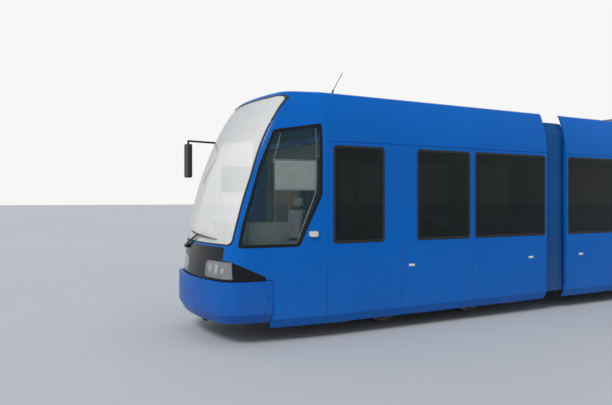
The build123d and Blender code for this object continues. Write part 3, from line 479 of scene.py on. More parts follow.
def finish(name, first, second, size=1.5, rough=(0.3, 0.4), bump=(60, 0.0004), dust=0.0, stretch=(1, 1, 1),
           **constants):
    """A finish: two tones, a roughness range, a bump of (scale, height in metres), and an amount of road dust."""
    material = FINISHES[name] = bpy.data.materials.new(name)
    material.use_nodes = True
    tree = material.node_tree
    surface = tree.nodes["Principled BSDF"]
    for socket, value in constants.items():
        surface.inputs[socket.replace("_", " ")].default_value = value
    where = (add(tree, "ShaderNodeTexCoord"), "Object")
    place = (add(tree, "ShaderNodeMapping", Vector=where, Scale=stretch), "Vector")
    colour = blend_colours(tree, noise_level(tree, place, size, 0, 1), tone(*first), tone(*second))
    roughness = noise_level(tree, place, size * ROUGHNESS_SCALE, *rough)
    if dust:
        height = (add(tree, "ShaderNodeSeparateXYZ", Vector=where), "Z")
        low = add(tree, "ShaderNodeMapRange", Value=height, _1=DUST_TOP, _2=DUST_FULL, _3=0.0, _4=dust)
        amount = maths(tree, "MULTIPLY", (low, "Result"), noise_level(tree, place, **DUST_PATCHES))
        colour = blend_colours(tree, amount, colour, tone(*DUST_TONE))
        roughness = maths(tree, "ADD", roughness, maths(tree, "MULTIPLY", amount, DUST_MATT))
    grain = add(tree, "ShaderNodeTexNoise", Vector=place, Scale=bump[0], Detail=4.0)
    relief = add(tree, "ShaderNodeBump", Height=(grain, "Fac"), Distance=bump[1], Strength=1.0)
    for socket, link in (("Base Color", colour), ("Roughness", roughness), ("Normal", (relief, 0))):
        wire(tree, link, surface.inputs[socket])
    return material


def woven(name, warp, weft, pitch, fleck):
    """Cloth: crossed waves raise the threads, and a coarser noise throws in a fleck of a third tone."""
    material = finish(name, warp, weft, size=14, rough=(0.8, 0.95), bump=(300, 0.0002), Sheen_Weight=0.4)
    tree = material.node_tree
    surface = tree.nodes["Principled BSDF"]
    where = (next(n for n in tree.nodes if n.type == "TEX_COORD"), "Object")
    threads = [(add(tree, "ShaderNodeTexWave", bands_direction=way, Vector=where, Scale=1 / pitch / FULL_WAVE,
                    Distortion=0.6), "Fac") for way in ("Y", "Z")]
    crossing = maths(tree, "MULTIPLY", *threads)
    relief = add(tree, "ShaderNodeBump", Height=crossing, Distance=THREAD_HEIGHT, Strength=0.7)
    wire(tree, (relief, 0), surface.inputs["Normal"])
    base = surface.inputs["Base Color"].links[0].from_node
    colour = blend_colours(tree, noise_level(tree, where, **FLECKS), (base, 2), tone(*fleck))
    wire(tree, colour, surface.inputs["Base Color"])


print("finish recipe ready")

# %% [markdown]
# ## The paint shop
#
# Each line is one finish, with its tones as they look on a screen. Lacquer keeps a low gloss, because the
# picture's blue shows hardly any white sheen. Glass is a thin tinted sheet that lets part of the light pass:
# dark for the saloon, clear for the driver, and pale for the screens, whose colour paints in the sky's reflection.

# %% Paint, glass and metal
PAINT = dict(IOR=1.45, Coat_Weight=0.10, Coat_Roughness=0.04, Specular_IOR_Level=0.08)
DARK_GLASS = dict(Alpha=0.76, IOR=1.5, Coat_Weight=0.05, Coat_Roughness=0.02, Specular_IOR_Level=0.22)
finish("lacquer_blue", (0, 92, 178), (0, 99, 188), 0.7, (0.22, 0.34), (9, 0.0009), 0.14, **PAINT)
finish("bumper_blue", (1, 86, 172), (2, 94, 184), 1.6, (0.26, 0.42), (30, 0.0005), 0.25, **PAINT)
finish("gangway_blue", (1, 66, 122), (1, 74, 134), 1.2, (0.4, 0.55), (40, 0.0006), 0.30, IOR=1.45,
       Specular_IOR_Level=0.2)
finish("side_glass", (12, 18, 18), (20, 28, 28), 0.8, (0.02, 0.06), (3, 0.0012), 0.1, **DARK_GLASS)
finish("cab_glass", (60, 84, 84), (72, 96, 94), 1.0, (0.02, 0.05), (3, 0.0008), Alpha=0.16, IOR=1.45)
# The screens' near-white tones, mixed by noise stretched into soft streaks, are a painted reflection of the sky.
finish("screen_glass_painted_sky", (226, 228, 228), (244, 243, 240), 0.9, (0.02, 0.06), (3, 0.0008), Alpha=0.62, IOR=1.7,
       stretch=(1, 0.5, 1.6))
finish("panel_black", (10, 11, 12), (18, 19, 21), 3, (0.12, 0.22), (20, 0.0004), IOR=1.45, Specular_IOR_Level=0.3)
finish("lamp_cover", (190, 196, 198), (214, 218, 220), 6, (0.03, 0.08), (30, 0.0003), Alpha=0.22, IOR=1.6)
finish("red_lens", (150, 12, 14), (176, 20, 20), 6, (0.06, 0.12), (160, 0.0008), IOR=1.6, Coat_Weight=0.5)
finish("amber_lens", (216, 206, 188), (230, 220, 202), 9, (0.08, 0.15), (150, 0.0008), IOR=1.6)
finish("seal_rubber", (16, 16, 17), (27, 27, 28), 12, (0.5, 0.7), (180, 0.0003), 0.25)
finish("mirror_plastic", (17, 17, 18), (26, 26, 28), 10, (0.35, 0.5), (240, 0.0004))
finish("frame_paint", (48, 48, 50), (66, 64, 62), 5, (0.5, 0.7), (90, 0.001), 0.5)
finish("wheel_steel", (92, 86, 80), (122, 116, 110), 7, (0.35, 0.6), (80, 0.0006), Metallic=0.85)
finish("tread_steel", (176, 174, 170), (196, 195, 192), 9, (0.16, 0.28), (120, 0.0002), Metallic=1.0)
finish("roof_paint", (112, 116, 120), (134, 138, 142), 1.6, (0.45, 0.6), (60, 0.0008))
finish("roof_mat", (74, 78, 82), (90, 94, 98), 3, (0.7, 0.85), (240, 0.0008))
finish("collector_metal", (138, 140, 144), (162, 164, 168), 5, (0.3, 0.45), (120, 0.0004), Metallic=0.9)
finish("chrome", (205, 207, 210), (222, 224, 226), 8, (0.05, 0.12), (60, 0.0002), Metallic=1.0)
finish("carbon", (28, 28, 30), (44, 43, 42), 14, (0.55, 0.75), (200, 0.0006))
finish("insulator", (118, 66, 44), (142, 80, 54), 9, (0.15, 0.3), (60, 0.0004), Coat_Weight=0.4)
print(len(bpy.data.materials), "materials so far")

# %% [markdown]
# ## Finishes for the inside
#
# The saloon and the cab are seen through dark glass, so what counts there is how light or dark a surface is.
# Panels and mouldings come from the same recipe. Seats and blinds are cloth: its threads would be far too many
# to model, so crossed waves raise them in the surface only.

# %% Inside finishes
finish("floor_rubber", (70, 74, 78), (88, 92, 96), 30, (0.6, 0.8), (500, 0.0006))
finish("interior_panel", (112, 122, 118), (126, 136, 132), 2.5, (0.45, 0.6), (220, 0.0004))
finish("desk_grey", (98, 112, 108), (118, 132, 126), 4, (0.5, 0.65), (260, 0.0005))
finish("rail_yellow", (222, 170, 20), (232, 184, 34), 6, (0.25, 0.38), (90, 0.0003), Coat_Weight=0.3)
finish("seat_moulding", (66, 72, 80), (80, 86, 94), 4, (0.4, 0.55), (320, 0.0003))
woven("seat_cloth", (28, 52, 112), (36, 66, 136), 0.004, (120, 150, 190))
woven("driver_cloth", (168, 176, 184), (190, 196, 202), 0.004, (110, 116, 124))
woven("blind_cloth", (158, 172, 166), (172, 186, 180), 0.003, (146, 160, 154))
finish("light_cover", (232, 232, 226), (240, 240, 236), 3, (0.3, 0.45), (120, 0.0002))
finish("display_black", (8, 9, 11), (14, 16, 19), 4, (0.1, 0.18), (30, 0.0002), Coat_Weight=0.4)
print(len(bpy.data.materials), "materials with the inside ones")

# %% [markdown]
# ## Finishes on the CAD parts
#
# The frame's parts keep their shape. Each only needs its own finish in its material slots, chosen by what the
# part is made of. The table reads like a paint schedule.

# %% Paint schedule
SCHEDULE = {
    "lacquer_blue": "cab_shell tail_shell front_door middle_doors rear_door front_side_walls middle_side_walls "
    "rear_side_walls front_roof middle_roof rear_roof",
    "bumper_blue": "front_bumper rear_bumper",
    "gangway_blue": "front_gangway rear_gangway",
    "side_glass": "front_windows middle_windows rear_windows tail_side_windows",
    "cab_glass": "cab_side_windows",
    "screen_glass_painted_sky": "windscreen tail_screen",
    "panel_black": "headlamp_panel tail_lamp_panel",
    "lamp_cover": "headlamps",
    "red_lens": "tail_lamps",
    "amber_lens": "turn_indicators",
    "mirror_plastic": "mirror antenna",
    "frame_paint": "front_bogie rear_bogie",
    "wheel_steel": "wheelset_1 wheelset_2 wheelset_3 wheelset_4",
    "roof_paint": "front_roof_unit middle_roof_unit rear_roof_unit",
    "collector_metal": "pantograph_base pantograph_lower_arm pantograph_upper_arm pantograph_head",
    "floor_rubber": "front_underframe middle_underframe rear_underframe",
    "interior_panel": "cab_partition",
    "desk_grey": "driver_desk",
    "driver_cloth": "driver_seat",
    "seat_moulding": "front_seats middle_seats rear_seats",
    "rail_yellow": "front_handrails middle_handrails rear_handrails",
}
for material, names in SCHEDULE.items():
    for name in names.split():
        for place in nodes[name].material_slots:
            place.material = FINISHES[material]
print("nodes without a finish:", sorted(set(nodes) - set(" ".join(SCHEDULE.values()).split())))

# %% [markdown]
# ## Screen seal and cab window borders
#
# The windscreen is one big bonded pane. Round it runs a black rubber lip, and the side panes have a wide black
# printed border that hides the glue. Both could be painted on by a texture, but a real lip catches the light,
# so each is a thin band between two stencil loops that were dropped onto the nose.

# %% Bands on the nose
NOSE_FRONT, STAND_OFF, SIDE_START = -10.2, 0.3, 1.5
MEND_REACH, MEND_LIMIT = 3, 0.06
SCREEN_CORNERS = [(0.912, 1.330), (0.935, 1.700), (0.955, 2.250), (0.935, 2.700), (0.925, 3.100), (0.900, 3.385)]
WINDOW_CORNERS = [(0.345, 1.30), (0.410, 1.61), (0.645, 2.39), (0.855, 2.88), (1.53, 2.99), (1.53, 2.0), (1.191, 1.30)]
FRONT_SKIN = triangles_of("cab_shell", "windscreen", "cab_side_windows", "headlamp_panel", "headlamps")


def dropped(flat, side=0, skin=FRONT_SKIN):
    """Points drawn flat and dropped onto the nose: backwards from a front view, or inwards from a side's view."""
    flat = np.asarray(flat, float)
    start = np.full(len(flat), side * SIDE_START if side else NOSE_FRONT - STAND_OFF)
    starts = np.column_stack([flat[:, 0], start, flat[:, 1]] if side else [start, flat])
    return drop_onto(starts, (0.0, -side, 0.0) if side else (1.0, 0.0, 0.0), skin)


def mended(place, normal, hit, closed=True):
    """Rays that slip through a joint are put back: a point far from the middle of its neighbours is drawn anew
    between the nearest good ones. An open line has no neighbours past its ends."""
    index = np.arange(len(place))
    near = index[:, None] + np.arange(-MEND_REACH, MEND_REACH + 1)
    near = near % len(place) if closed else near.clip(0, len(place) - 1)
    good = hit & (np.linalg.norm(place - np.median(place[near], axis=1), axis=1) < MEND_LIMIT)
    place, normal = (np.column_stack([np.interp(index, index[good], line[good]) for line in lines.T])
                     for lines in (place, normal))
    return place, normal / np.linalg.norm(normal, axis=1)[:, None]


def stencil_band(corners, radius, insets, thickness, side=0):
    """Band on the nose between two loops, each moved inwards by its inset from one outline."""
    loops = [mended(*dropped(rounded_loop(inset_corners(corners, inset), radius, 8, 16), side)) for inset in insets]
    return band_patch(loops[0][0], loops[1][0], smooth_along(loops[1][1]), thickness)


right = np.array(SCREEN_CORNERS)
screen = np.concatenate([right, right[::-1] * (-1, 1)])
window = [(NOSE_FRONT + back, height) for back, height in WINDOW_CORNERS]
seal = [stencil_band(screen, 0.07, (-0.006, 0.012), 0.006)]
borders = [stencil_band(window, 0.05, (-0.004, 0.036), 0.003, side) for side in (-1, 1)]
for kind, patches, material in (("screen_seal", seal, "seal_rubber"), ("pane_border", borders, "panel_black")):
    build("cab_" + kind, patches, "front_section", material)
    build("tail_" + kind, mirrored(patches), "rear_section", material)

# %% [markdown]
# ## Windscreen wiper
#
# A wide screen is swept by one long blade on a pair of parallel arms. The blade must touch the glass all
# along, so its line is dropped onto the screen first and then lifted a few millimetres along the surface
# direction. The arm is a rod of changing thickness between its spindle and the blade's middle.

# %% Wiper
SPINDLE_CAP = [(-0.03, 0.0), (-0.03, 0.026), (0.008, 0.026), (0.014, 0.020), (0.016, 0.0)]


def line_on_nose(start, end, lift, count=24):
    """Line drawn in front view from start to end, dropped onto the nose and lifted off it."""
    place, normal = mended(*dropped(np.linspace(start, end, count)), closed=False)
    return place + normal * lift, normal


def wiper_patches():
    """Blade and its spine, then two arms with their spindle caps."""
    blade, _ = line_on_nose((-0.60, 1.395), (0.42, 1.47), 0.012)
    spine, _ = line_on_nose((-0.50, 1.402), (0.32, 1.463), 0.030)
    swell = 0.004 + 0.005 * np.sin(np.linspace(0, np.pi, len(spine)))
    patches = [rod_patch(blade, 0.0055, 8), rod_patch(spine, swell, 8)]
    for shift in (0.0, 0.09):
        arm, normal = line_on_nose((0.55 + shift, 1.235), (-0.06 + shift * 0.6, 1.435), 0.034)
        patches += [rod_patch(arm, np.linspace(0.013, 0.007, len(arm)), 8),
                    lathe_patch(SPINDLE_CAP, arm[0], normal[0], 20)]
    return patches


build("wiper", wiper_patches(), "front_section", "mirror_plastic")

# %% [markdown]
# ## Headlamps
#
# Behind the clear cover each side has a low beam, a high beam and a smaller marker. A lamp is a bowl with a
# bright inside and a clear dome before it: both are profiles turned round the lamp's axis, which points
# straight ahead, while the cover follows the nose. The tail has the same lamps, with red domes.

# %% Lamp bowls and domes
LAMPS = [(0.470, 1.005, 0.068), (0.630, 1.005, 0.068), (0.775, 0.985, 0.048)]
LAMP_SETBACK = (0.026, 0, 0)
BOWL = [(0.0155, 0.0), (0.0145, 0.25), (0.0135, 0.40), (0.0055, 0.70), (-0.002, 0.95), (-0.004, 1.0), (-0.004, 1.05),
        (0.001, 1.07), (0.008, 0.9), (0.019, 0.0)]
DOME = [(0.0150, 0.0), (0.0145, 0.46), (0.008, 0.45), (0.001, 0.34), (-0.003, 0.18), (-0.0045, 0.0)]


def lamp_patches(profile, size):
    """One turned part of all lamps. Its profile gives depths, and radii as shares of the lamp's radius."""
    patches = []
    for side in (-1, 1):
        places = dropped([(side * across, height) for across, height, _ in LAMPS])[0] + LAMP_SETBACK
        patches += [lathe_patch([(depth, radius * share) for depth, share in profile], place, (1.0, 0.0, 0.0), size)
                    for place, (_, _, radius) in zip(places, LAMPS)]
    return patches


bowls, domes = lamp_patches(BOWL, 32), lamp_patches(DOME, 24)
build("headlamp_bowls", bowls, "front_section", "chrome")
build("headlamp_domes", domes, "front_section", "lamp_cover")
build("tail_lamp_bowls", mirrored(bowls), "rear_section", "chrome")
build("tail_lamp_domes", mirrored(domes), "rear_section", "red_lens")

# %% [markdown]
# ## Window rubbers
#
# Every pane of the saloon sits in a black rubber profile, slightly proud of the paint. The walls are flat, so
# no stencil is needed: the two loops of a band are drawn in the wall's own plane. One table of openings gives
# all three sections, and each section's rubbers are one piece.

# %% Openings and their rubbers
WALL_Y, SUNK = 1.150, 0.0035
SILL, HEAD, DOOR_FOOT, DOOR_HEAD = 1.330, 2.690, 0.350, 2.640
WINDOWS = {
    "front": [(-1, -8.49, -7.63), (-1, -7.01, -5.95), (-1, -5.83, -4.20), (1, -7.01, -5.95), (1, -5.83, -4.20)],
    "middle": [(-1, -3.60, -1.88), (-1, -1.78, -0.05), (-1, 0.05, 1.78), (-1, 1.88, 3.60), (1, -3.60, -2.56),
               (1, -0.98, 0.98), (1, 2.56, 3.60)],
}
DOORS = {"front": [(-8.42, -7.66, 1)], "middle": [(-2.42, -1.12, 2), (1.12, 2.42, 2)]}


def flat_band(side, x0, x1, z0, z1, radius, outwards, inwards, thickness):
    """Band round a rectangle in the wall's plane, with its foot sunk into the paint."""
    corners = [(x0, z0), (x1, z0), (x1, z1), (x0, z1)]
    loops = []
    for inset in (-outwards, inwards):
        flat = rounded_loop(inset_corners(corners, inset), max(radius - inset * 0.6, 0.02), 7, 2)
        loops.append(np.column_stack([flat[:, 0], np.full(len(flat), side * (WALL_Y - SUNK)), flat[:, 1]]))
    return band_patch(*loops, np.tile([0.0, side, 0.0], (len(flat), 1)), thickness + SUNK)


def build_section(section, kind, patches, material):
    """A piece of a kind on a section. What the front section has is mirrored onto the rear one."""
    build(f"{section}_{kind}", patches, f"{section}_section", material)
    if section == "front":
        build(f"rear_{kind}", mirrored(patches), "rear_section", material)


for section, windows in WINDOWS.items():
    rubbers = [flat_band(side, x0, x1, SILL, HEAD, 0.055, 0.010, 0.030, 0.004) for side, x0, x1 in windows]
    build_section(section, "window_rubbers", rubbers, "seal_rubber")

# %% [markdown]
# ## Doors
#
# A sliding leaf is mostly rubber and glass: a seal round the opening, a finger guard where two leaves meet, a
# border round the pane, a lit push button beside it and a ribbed step edge below. All are bands and small
# turned pieces, laid on the leaf where the CAD cut it. All doors are on the right.

# %% Door seals, buttons and step edges
LEAF_EDGE, PANE_FOOT, PANE_HEAD, BUTTON_Z = 0.085, 0.78, 2.52, 1.12
RING = [(0.0, 0.0), (0.0, 0.034), (0.005, 0.034), (0.007, 0.030), (0.007, 0.0)]
KNOB = [(0.006, 0.0), (0.006, 0.021), (0.009, 0.020), (0.010, 0.014), (0.010, 0.0)]


def door_patches(x0, x1, leaves):
    """Seal of the doorway, pane borders of its leaves and the strip between them."""
    patches = [flat_band(1, x0, x1, DOOR_FOOT, DOOR_HEAD, 0.03, 0.006, 0.016, 0.003)]
    width = (x1 - x0) / leaves
    for left in x0 + width * np.arange(leaves):
        pane = (left + LEAF_EDGE, left + width - LEAF_EDGE, PANE_FOOT, PANE_HEAD)
        patches.append(flat_band(1, *pane, 0.04, 0.014, 0.026, 0.003))
    if leaves == 2:
        middle = (x0 + x1) / 2
        patches.append(soft_box_patch((middle - 0.014, WALL_Y - 0.02, DOOR_FOOT + 0.02),
                                      (middle + 0.014, WALL_Y + 0.004, DOOR_HEAD - 0.02), 0.006))
    return patches


def button_patch(profile, size, x0, x1, leaves):
    """A turned part of the push button, on the leaf's edge at hand height."""
    x = x0 + 0.043 if leaves == 1 else (x0 + x1) / 2 - 0.046
    return [lathe_patch(profile, (x, WALL_Y - 0.004, BUTTON_Z), (0.0, 1.0, 0.0), size)]


def step_patches(x0, x1, ribs=5):
    """Ribbed metal edge along the foot of a doorway: a low plate with long ribs."""
    foot = WALL_Y - 0.06
    plate = soft_box_patch((x0 + 0.02, foot, 0.331), (x1 - 0.02, WALL_Y - 0.004, 0.347), 0.004, 3)
    return [plate] + [soft_box_patch((x0 + 0.03, foot + 0.004 + k * 0.011, 0.345),
                                     (x1 - 0.03, foot + 0.009 + k * 0.011, 0.350), 0.002, 3) for k in range(ribs)]


for section, doors in DOORS.items():
    for kind, made, material, slot in (
        ("door_seals", [door_patches(*door) for door in doors], "seal_rubber", "mirror_black"),
        ("door_button_rings", [button_patch(RING, 24, *door) for door in doors], "chrome", "collector_steel"),
        ("door_buttons", [button_patch(KNOB, 20, *door) for door in doors], "amber_lens", "amber"),
        ("door_steps", [step_patches(*door[:2]) for door in doors], "tread_steel", "collector_steel"),
    ):
        build_section(section, kind, sum(made, []), material)

# %% [markdown]
# ## Seams, drip rail and side markers
#
# Large panels meet in narrow joints, and a long flank without them looks like plastic. The joints are thin
# dark strips a hair above the paint. The drip rail is a small half-round bar along the cantrail, and amber
# reflectors stand in a row at the height that road rules ask for.

# %% Panel seams and drip rails
FLANKS = {"front": ((-8.60, -4.15), (-8.598, -7.30, -5.89, -4.17), (-7.116, -4.55)),
          "middle": ((-3.65, 3.65), (-3.63, -1.83, 0.0, 1.83, 3.63), (-3.25, 0.0, 3.25))}
SEAM_FOOT, SEAM_TOP, CANTRAIL, MARKER_Z = 0.345, SILL - 0.02, 2.762, 0.955


def seam_patch(side, x):
    """Upright joint between two flank panels: a strip 7 mm wide, standing 0.6 mm off the paint."""
    return side_box(side, (x - 0.0035, WALL_Y - 0.002, SEAM_FOOT), (x + 0.0035, WALL_Y + 0.0006, SEAM_TOP), 0.0009, 2)


def rail_patch(side, x0, x1):
    """Round bar along the cantrail, half of it sunk into the wall."""
    ends = ((x, side * WALL_Y, CANTRAIL) for x in (x0 + 0.02, x1 - 0.02))
    return rod_patch(np.linspace(*ends, 12), 0.009, 10)


def marker_patch(side, x):
    """Reflector with rounded ends, 110 by 36 mm."""
    return side_box(side, (x - 0.055, WALL_Y - 0.003, MARKER_Z - 0.018), (x + 0.055, WALL_Y + 0.005, MARKER_Z + 0.018),
                    0.008)


for section, (span, seams, markers) in FLANKS.items():
    joints = [seam_patch(side, x) for side in (-1, 1) for x in seams]
    build_section(section, "panel_seams", joints, "seal_rubber")
    build_section(section, "drip_rails", [rail_patch(side, *span) for side in (-1, 1)], "lacquer_blue")
    reflectors = [marker_patch(side, x) for side in (-1, 1) for x in markers]
    build_section(section, "side_markers", reflectors, "amber_lens")

# %% [markdown]
# ## Passenger seats
#
# Each seat is a thin moulded shell with two pads on it. A real shell is one pressed sheet: a side view that
# runs from the front lip, over the pan and up the back, and a cross-section that turns up a little at both
# edges. That is easy to write as a grid: one direction follows the side view, the other goes across.

# %% Moulded seat shells
SEAT_PATH = [(0.424, 0.012), (0.427, 0.038), (0.405, 0.056), (0.300, 0.050), (0.180, 0.040), (0.090, 0.040),
             (0.035, 0.064), (0.008, 0.120), (-0.008, 0.220), (-0.024, 0.360), (-0.042, 0.500), (-0.056, 0.600),
             (-0.066, 0.632)]
SEAT_WIDTH, SEAT_SHELL, SEAT_WING = 0.43, 0.012, 0.024


def length_along(path):
    """Length of a path up to each of its points."""
    return np.concatenate([[0], np.cumsum(np.linalg.norm(np.diff(path, axis=0), axis=1))])


def fine_path(path, count):
    """Smooth curve through the points, evenly spaced: Catmull-Rom pieces, then steps of equal length."""
    path = np.asarray(path, float)
    ends = np.concatenate([[2 * path[0] - path[1]], path, [2 * path[-1] - path[-2]]])
    t = np.linspace(0, 1, 12, endpoint=False)[:, None]
    pieces = [0.5 * (2 * b + (c - a) * t + (2 * a - 5 * b + 4 * c - d) * t**2 + (3 * b - a - 3 * c + d) * t**3)
              for a, b, c, d in zip(ends, ends[1:], ends[2:], ends[3:])]
    curve = np.concatenate(pieces + [path[-1:]])
    length = length_along(curve)
    even = np.linspace(0, length[-1], count)
    return np.stack([np.interp(even, length, line) for line in curve.T], axis=1)


def seat_side_view(count):
    """The seat's side view in even steps, and its unit direction at each of them."""
    path = fine_path(SEAT_PATH, count)
    along = np.gradient(path, axis=0)
    return path, along / np.linalg.norm(along, axis=1)[:, None]


def seat_shell_rings(count=46, across=15):
    """Rings (depth, side, height) round the shell. At a side position s from -1 to 1 the sheet stands a wing of
    0.024 s^6 off the path. Near the top and the lip it narrows by a quarter circle."""
    path, along = seat_side_view(count)
    inner = np.stack([along[:, 1], -along[:, 0]], axis=1)
    v = np.linspace(0, 1, count)
    ends = np.clip(np.maximum((v - 0.90) / 0.10, (0.05 - v) / 0.05), 0, 1)
    half = SEAT_WIDTH / 2 - 0.07 * (1 - np.sqrt(1 - 0.999 * ends**2))
    s = np.sin(np.linspace(-np.pi / 2, np.pi / 2, across))
    wing = SEAT_WING * np.abs(s) ** 6 * np.sin(np.pi * v)[:, None] ** 0.5
    rings = []
    for offset, order in ((0.0, 1), (-SEAT_SHELL, -1)):
        lift = (wing + offset)[:, ::order]
        flat = path[:, None, :] + lift[:, :, None] * inner[:, None, :]
        rings.append(np.stack([flat[..., 0], (half[:, None] * s)[:, ::order], flat[..., 1]], axis=2))
    return np.concatenate(rings, axis=1)


SHELL_RINGS = seat_shell_rings()
print("one shell:", SHELL_RINGS.shape, "box", np.ptp(SHELL_RINGS.reshape(-1, 3), axis=0).round(3))

# %% [markdown]
# ## Slim pads
#
# The passenger pads are only 25 mm of foam under a stretched cover, so a simulation has nothing to do in
# them. They are modelled swollen instead: a rounded rectangle whose height rises steeply at the rim and then
# crowns gently, whose sides pull in between the corners, and with two sewn channels pressed into the top.

# %% Crowned pads
PAD_WIDTH, PAD_RIM, PAD_PULL, CHANNELS = 0.37, 0.004, 0.022, (-0.07, 0.07)


def pad_rings(length, thickness, top_size=31, rows=21):
    """Rings (along, across, height) of a pad that lies flat. With u, v from -1 to 1 and m = max(|u|, |v|), the
    point is drawn to a superellipse of power 7, its height is thickness sqrt(1 - m^7), crowned by a fifth, and
    each channel takes away 0.006 exp(-(distance / 9 mm)^2)."""
    v = np.sin(np.linspace(-np.pi / 2, np.pi / 2, rows))[:, None]
    top_u = np.sin(np.linspace(-np.pi / 2, np.pi / 2, top_size))
    u, v = np.broadcast_arrays(np.concatenate([top_u, np.linspace(1, -1, 8)])[None, :], v)
    m = np.maximum(np.abs(u), np.abs(v))
    r = (np.abs(u) ** 7 + np.abs(v) ** 7) ** (1 / 7)
    squeeze = np.where(r > 0, m / np.maximum(r, 1e-9), 1)
    x = length / 2 * v * squeeze * (1 - PAD_PULL * (1 - u**2))
    y = PAD_WIDTH / 2 * u * squeeze * (1 - PAD_PULL * (1 - v**2))
    swell = np.sqrt(1 - 0.995 * m**7) * (0.8 + 0.2 * (1 - m**2))
    top = PAD_RIM + (thickness - PAD_RIM) * swell
    for channel in CHANNELS:
        top = top - 0.006 * np.exp(-((y - channel) / 0.009) ** 2) * np.clip(1.2 * (1 - m**4), 0, 1)
    return np.stack([x, y, np.where(np.arange(u.shape[1]) < top_size, top, 0.0)], axis=2)


def laid_on_path(rings, start):
    """Bends a flat pad along the seat's side view: its length runs along the path from a start, its height
    stands on the path's inner side."""
    path, along = seat_side_view(400)
    length = length_along(path)
    where = rings[..., 0] - rings[..., 0].min() + start
    (x, z), (way_x, way_z) = ([np.interp(where, length, line) for line in lines.T] for lines in (path, along))
    return np.stack([x + rings[..., 2] * way_z, rings[..., 1], z - rings[..., 2] * way_x], axis=-1)


SEAT_PAD = laid_on_path(pad_rings(0.330, 0.030), 0.055)
BACK_PAD = laid_on_path(pad_rings(0.470, 0.026), 0.500)
print("seat pad and back pad:", SEAT_PAD[..., 0].size, "points each")

# %% [markdown]
# ## Setting the seats out
#
# One seat is made once, as arrays. Every other seat is the same array moved and, where it faces the other
# way, turned half round. Turning a point is only two sign changes here, so a whole saloon costs nothing. A row
# gives its place along the tram, side, way of facing, floor height, pan height above it and number of seats.

# %% Rows of seats
WALL_LINE, SEAT_PITCH = 1.068, 0.445
ROWS_END = [(x, side, facing, 0.80, 0.15, 1) for side in (-1, 1)
            for x, facing in ((-7.10, -1), (-6.25, 1), (-5.60, -1))]
ROWS_MIDDLE = [(x, -1, facing, 0.377, 0.33, 2)
               for x, facing in ((-2.50, 1), (-0.95, -1), (-0.15, -1), (0.65, 1), (2.30, -1))]
ROWS_MIDDLE += [(x, 1, facing, 0.377, 0.33, 1) for x, facing in ((-0.65, 1), (0.45, -1))]
ROWS_REAR = [(-x, -side, -facing, *others) for x, side, facing, *others in ROWS_END]
POST = [(0.001, 0.075), (0.008, 0.075), (0.022, 0.040)]


def set_out(rings, rows):
    """One solid for each single seat, from rings (depth, side, height) turned with the way that the seat faces."""
    solids = []
    for x, side, facing, floor, rise, abreast in rows:
        for k in range(abreast):
            middle = side * (WALL_LINE - SEAT_WIDTH / 2 - k * SEAT_PITCH)
            place = np.array([x - facing * 0.215, middle, floor + rise])
            solids.append(tube_patch(np.array([facing, facing, 1.0]) * rings + place))
    return solids


def under_seat(rows):
    """Two brackets and a plate that reach out from the wall, and a pedestal with a flared foot."""
    patches = []
    for x, side, _, floor, rise, abreast in rows:
        pan = floor + rise
        inner, outer = sorted((side * (WALL_LINE - abreast * SEAT_PITCH + 0.045), side * (WALL_LINE - 0.002)))
        for foot in (x - 0.08, x + 0.08):
            patches.append(soft_box_patch((foot - 0.02, inner, pan - 0.026), (foot + 0.02, outer, pan + 0.014), 0.008))
        drop = pan - 0.03 - floor
        profile = POST + [(drop * 0.5, 0.034), (drop - 0.015, 0.040), (drop, 0.062)]
        patches += [soft_box_patch((x - 0.1, inner + 0.02, pan - 0.035), (x + 0.1, outer - 0.05, pan - 0.020), 0.006),
                    lathe_patch(profile, (x, side * 0.80, floor), size=24)]
    return patches


for section, rows in (("front", ROWS_END), ("middle", ROWS_MIDDLE), ("rear", ROWS_REAR)):
    body = f"{section}_section"
    shells = set_out(SHELL_RINGS, rows)
    shell = build(f"{section}_seat_shells", shells, body, "seat_moulding")
    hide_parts(f"{section}_seats")
    build(f"{section}_seat_frames", under_seat(rows), body, "frame_paint")
    pads = [pad for pair in zip(set_out(SEAT_PAD, rows), set_out(BACK_PAD, rows)) for pad in pair]
    cover = build(f"{section}_seat_pads", pads, body, "seat_cloth")
    print(section, "seats:", len(shells))

# %% [markdown]
# ## Driver's seat
#
# This one has thick cushions and it can be seen from outside, so its foam is simulated. Each cushion starts as
# a slightly small rounded block. Remeshing gives it an even skin, then cloth under inner pressure swells it
# as a filled cover would, and every point is kept within a few millimetres of where it began. The sewn
# channels are pressed in afterwards, because remeshing would wipe them out.

# %% Driver's cushions
DRIVER = np.array([-8.87, -0.25, 0.0])
BACK_FOOT, BACK_LEAN, BACK_HOLLOW = 1.19, 0.135, 0.018
SKIN_VOXEL, FILLING_PRESSURE, SWELL_LIMIT, SWELL_FRAMES = 0.010, 4.0, 0.013, 20


def leaned(points):
    """Shears a standing pad backwards by a share of its height above its foot, with a small hollow for the back."""
    points = np.array(points)
    height = points[..., 2] - BACK_FOOT
    points[..., 0] += BACK_LEAN * height - BACK_HOLLOW * np.sin(np.pi * np.clip(height / 0.6, 0, 1))
    return points


def cushion_starts():
    """The three blocks before swelling: seat, back and head-rest, in places relative to the seat's middle."""
    seat = soft_box_patch((-0.212, -0.212, 1.112), (0.175, 0.212, 1.182), 0.034, 6)
    back = soft_box_patch((0.150, -0.205, 1.175), (0.222, 0.205, 1.790), 0.034, 6)
    rest = soft_box_patch((0.168, -0.118, 1.835), (0.232, 0.118, 1.965), 0.030, 6)
    return [seat, (leaned(back[0]), back[1]), (leaned(rest[0]), rest[1])]


def evaluated(piece):
    """The piece as its modifiers show it."""
    return piece.evaluated_get(bpy.context.evaluated_depsgraph_get())


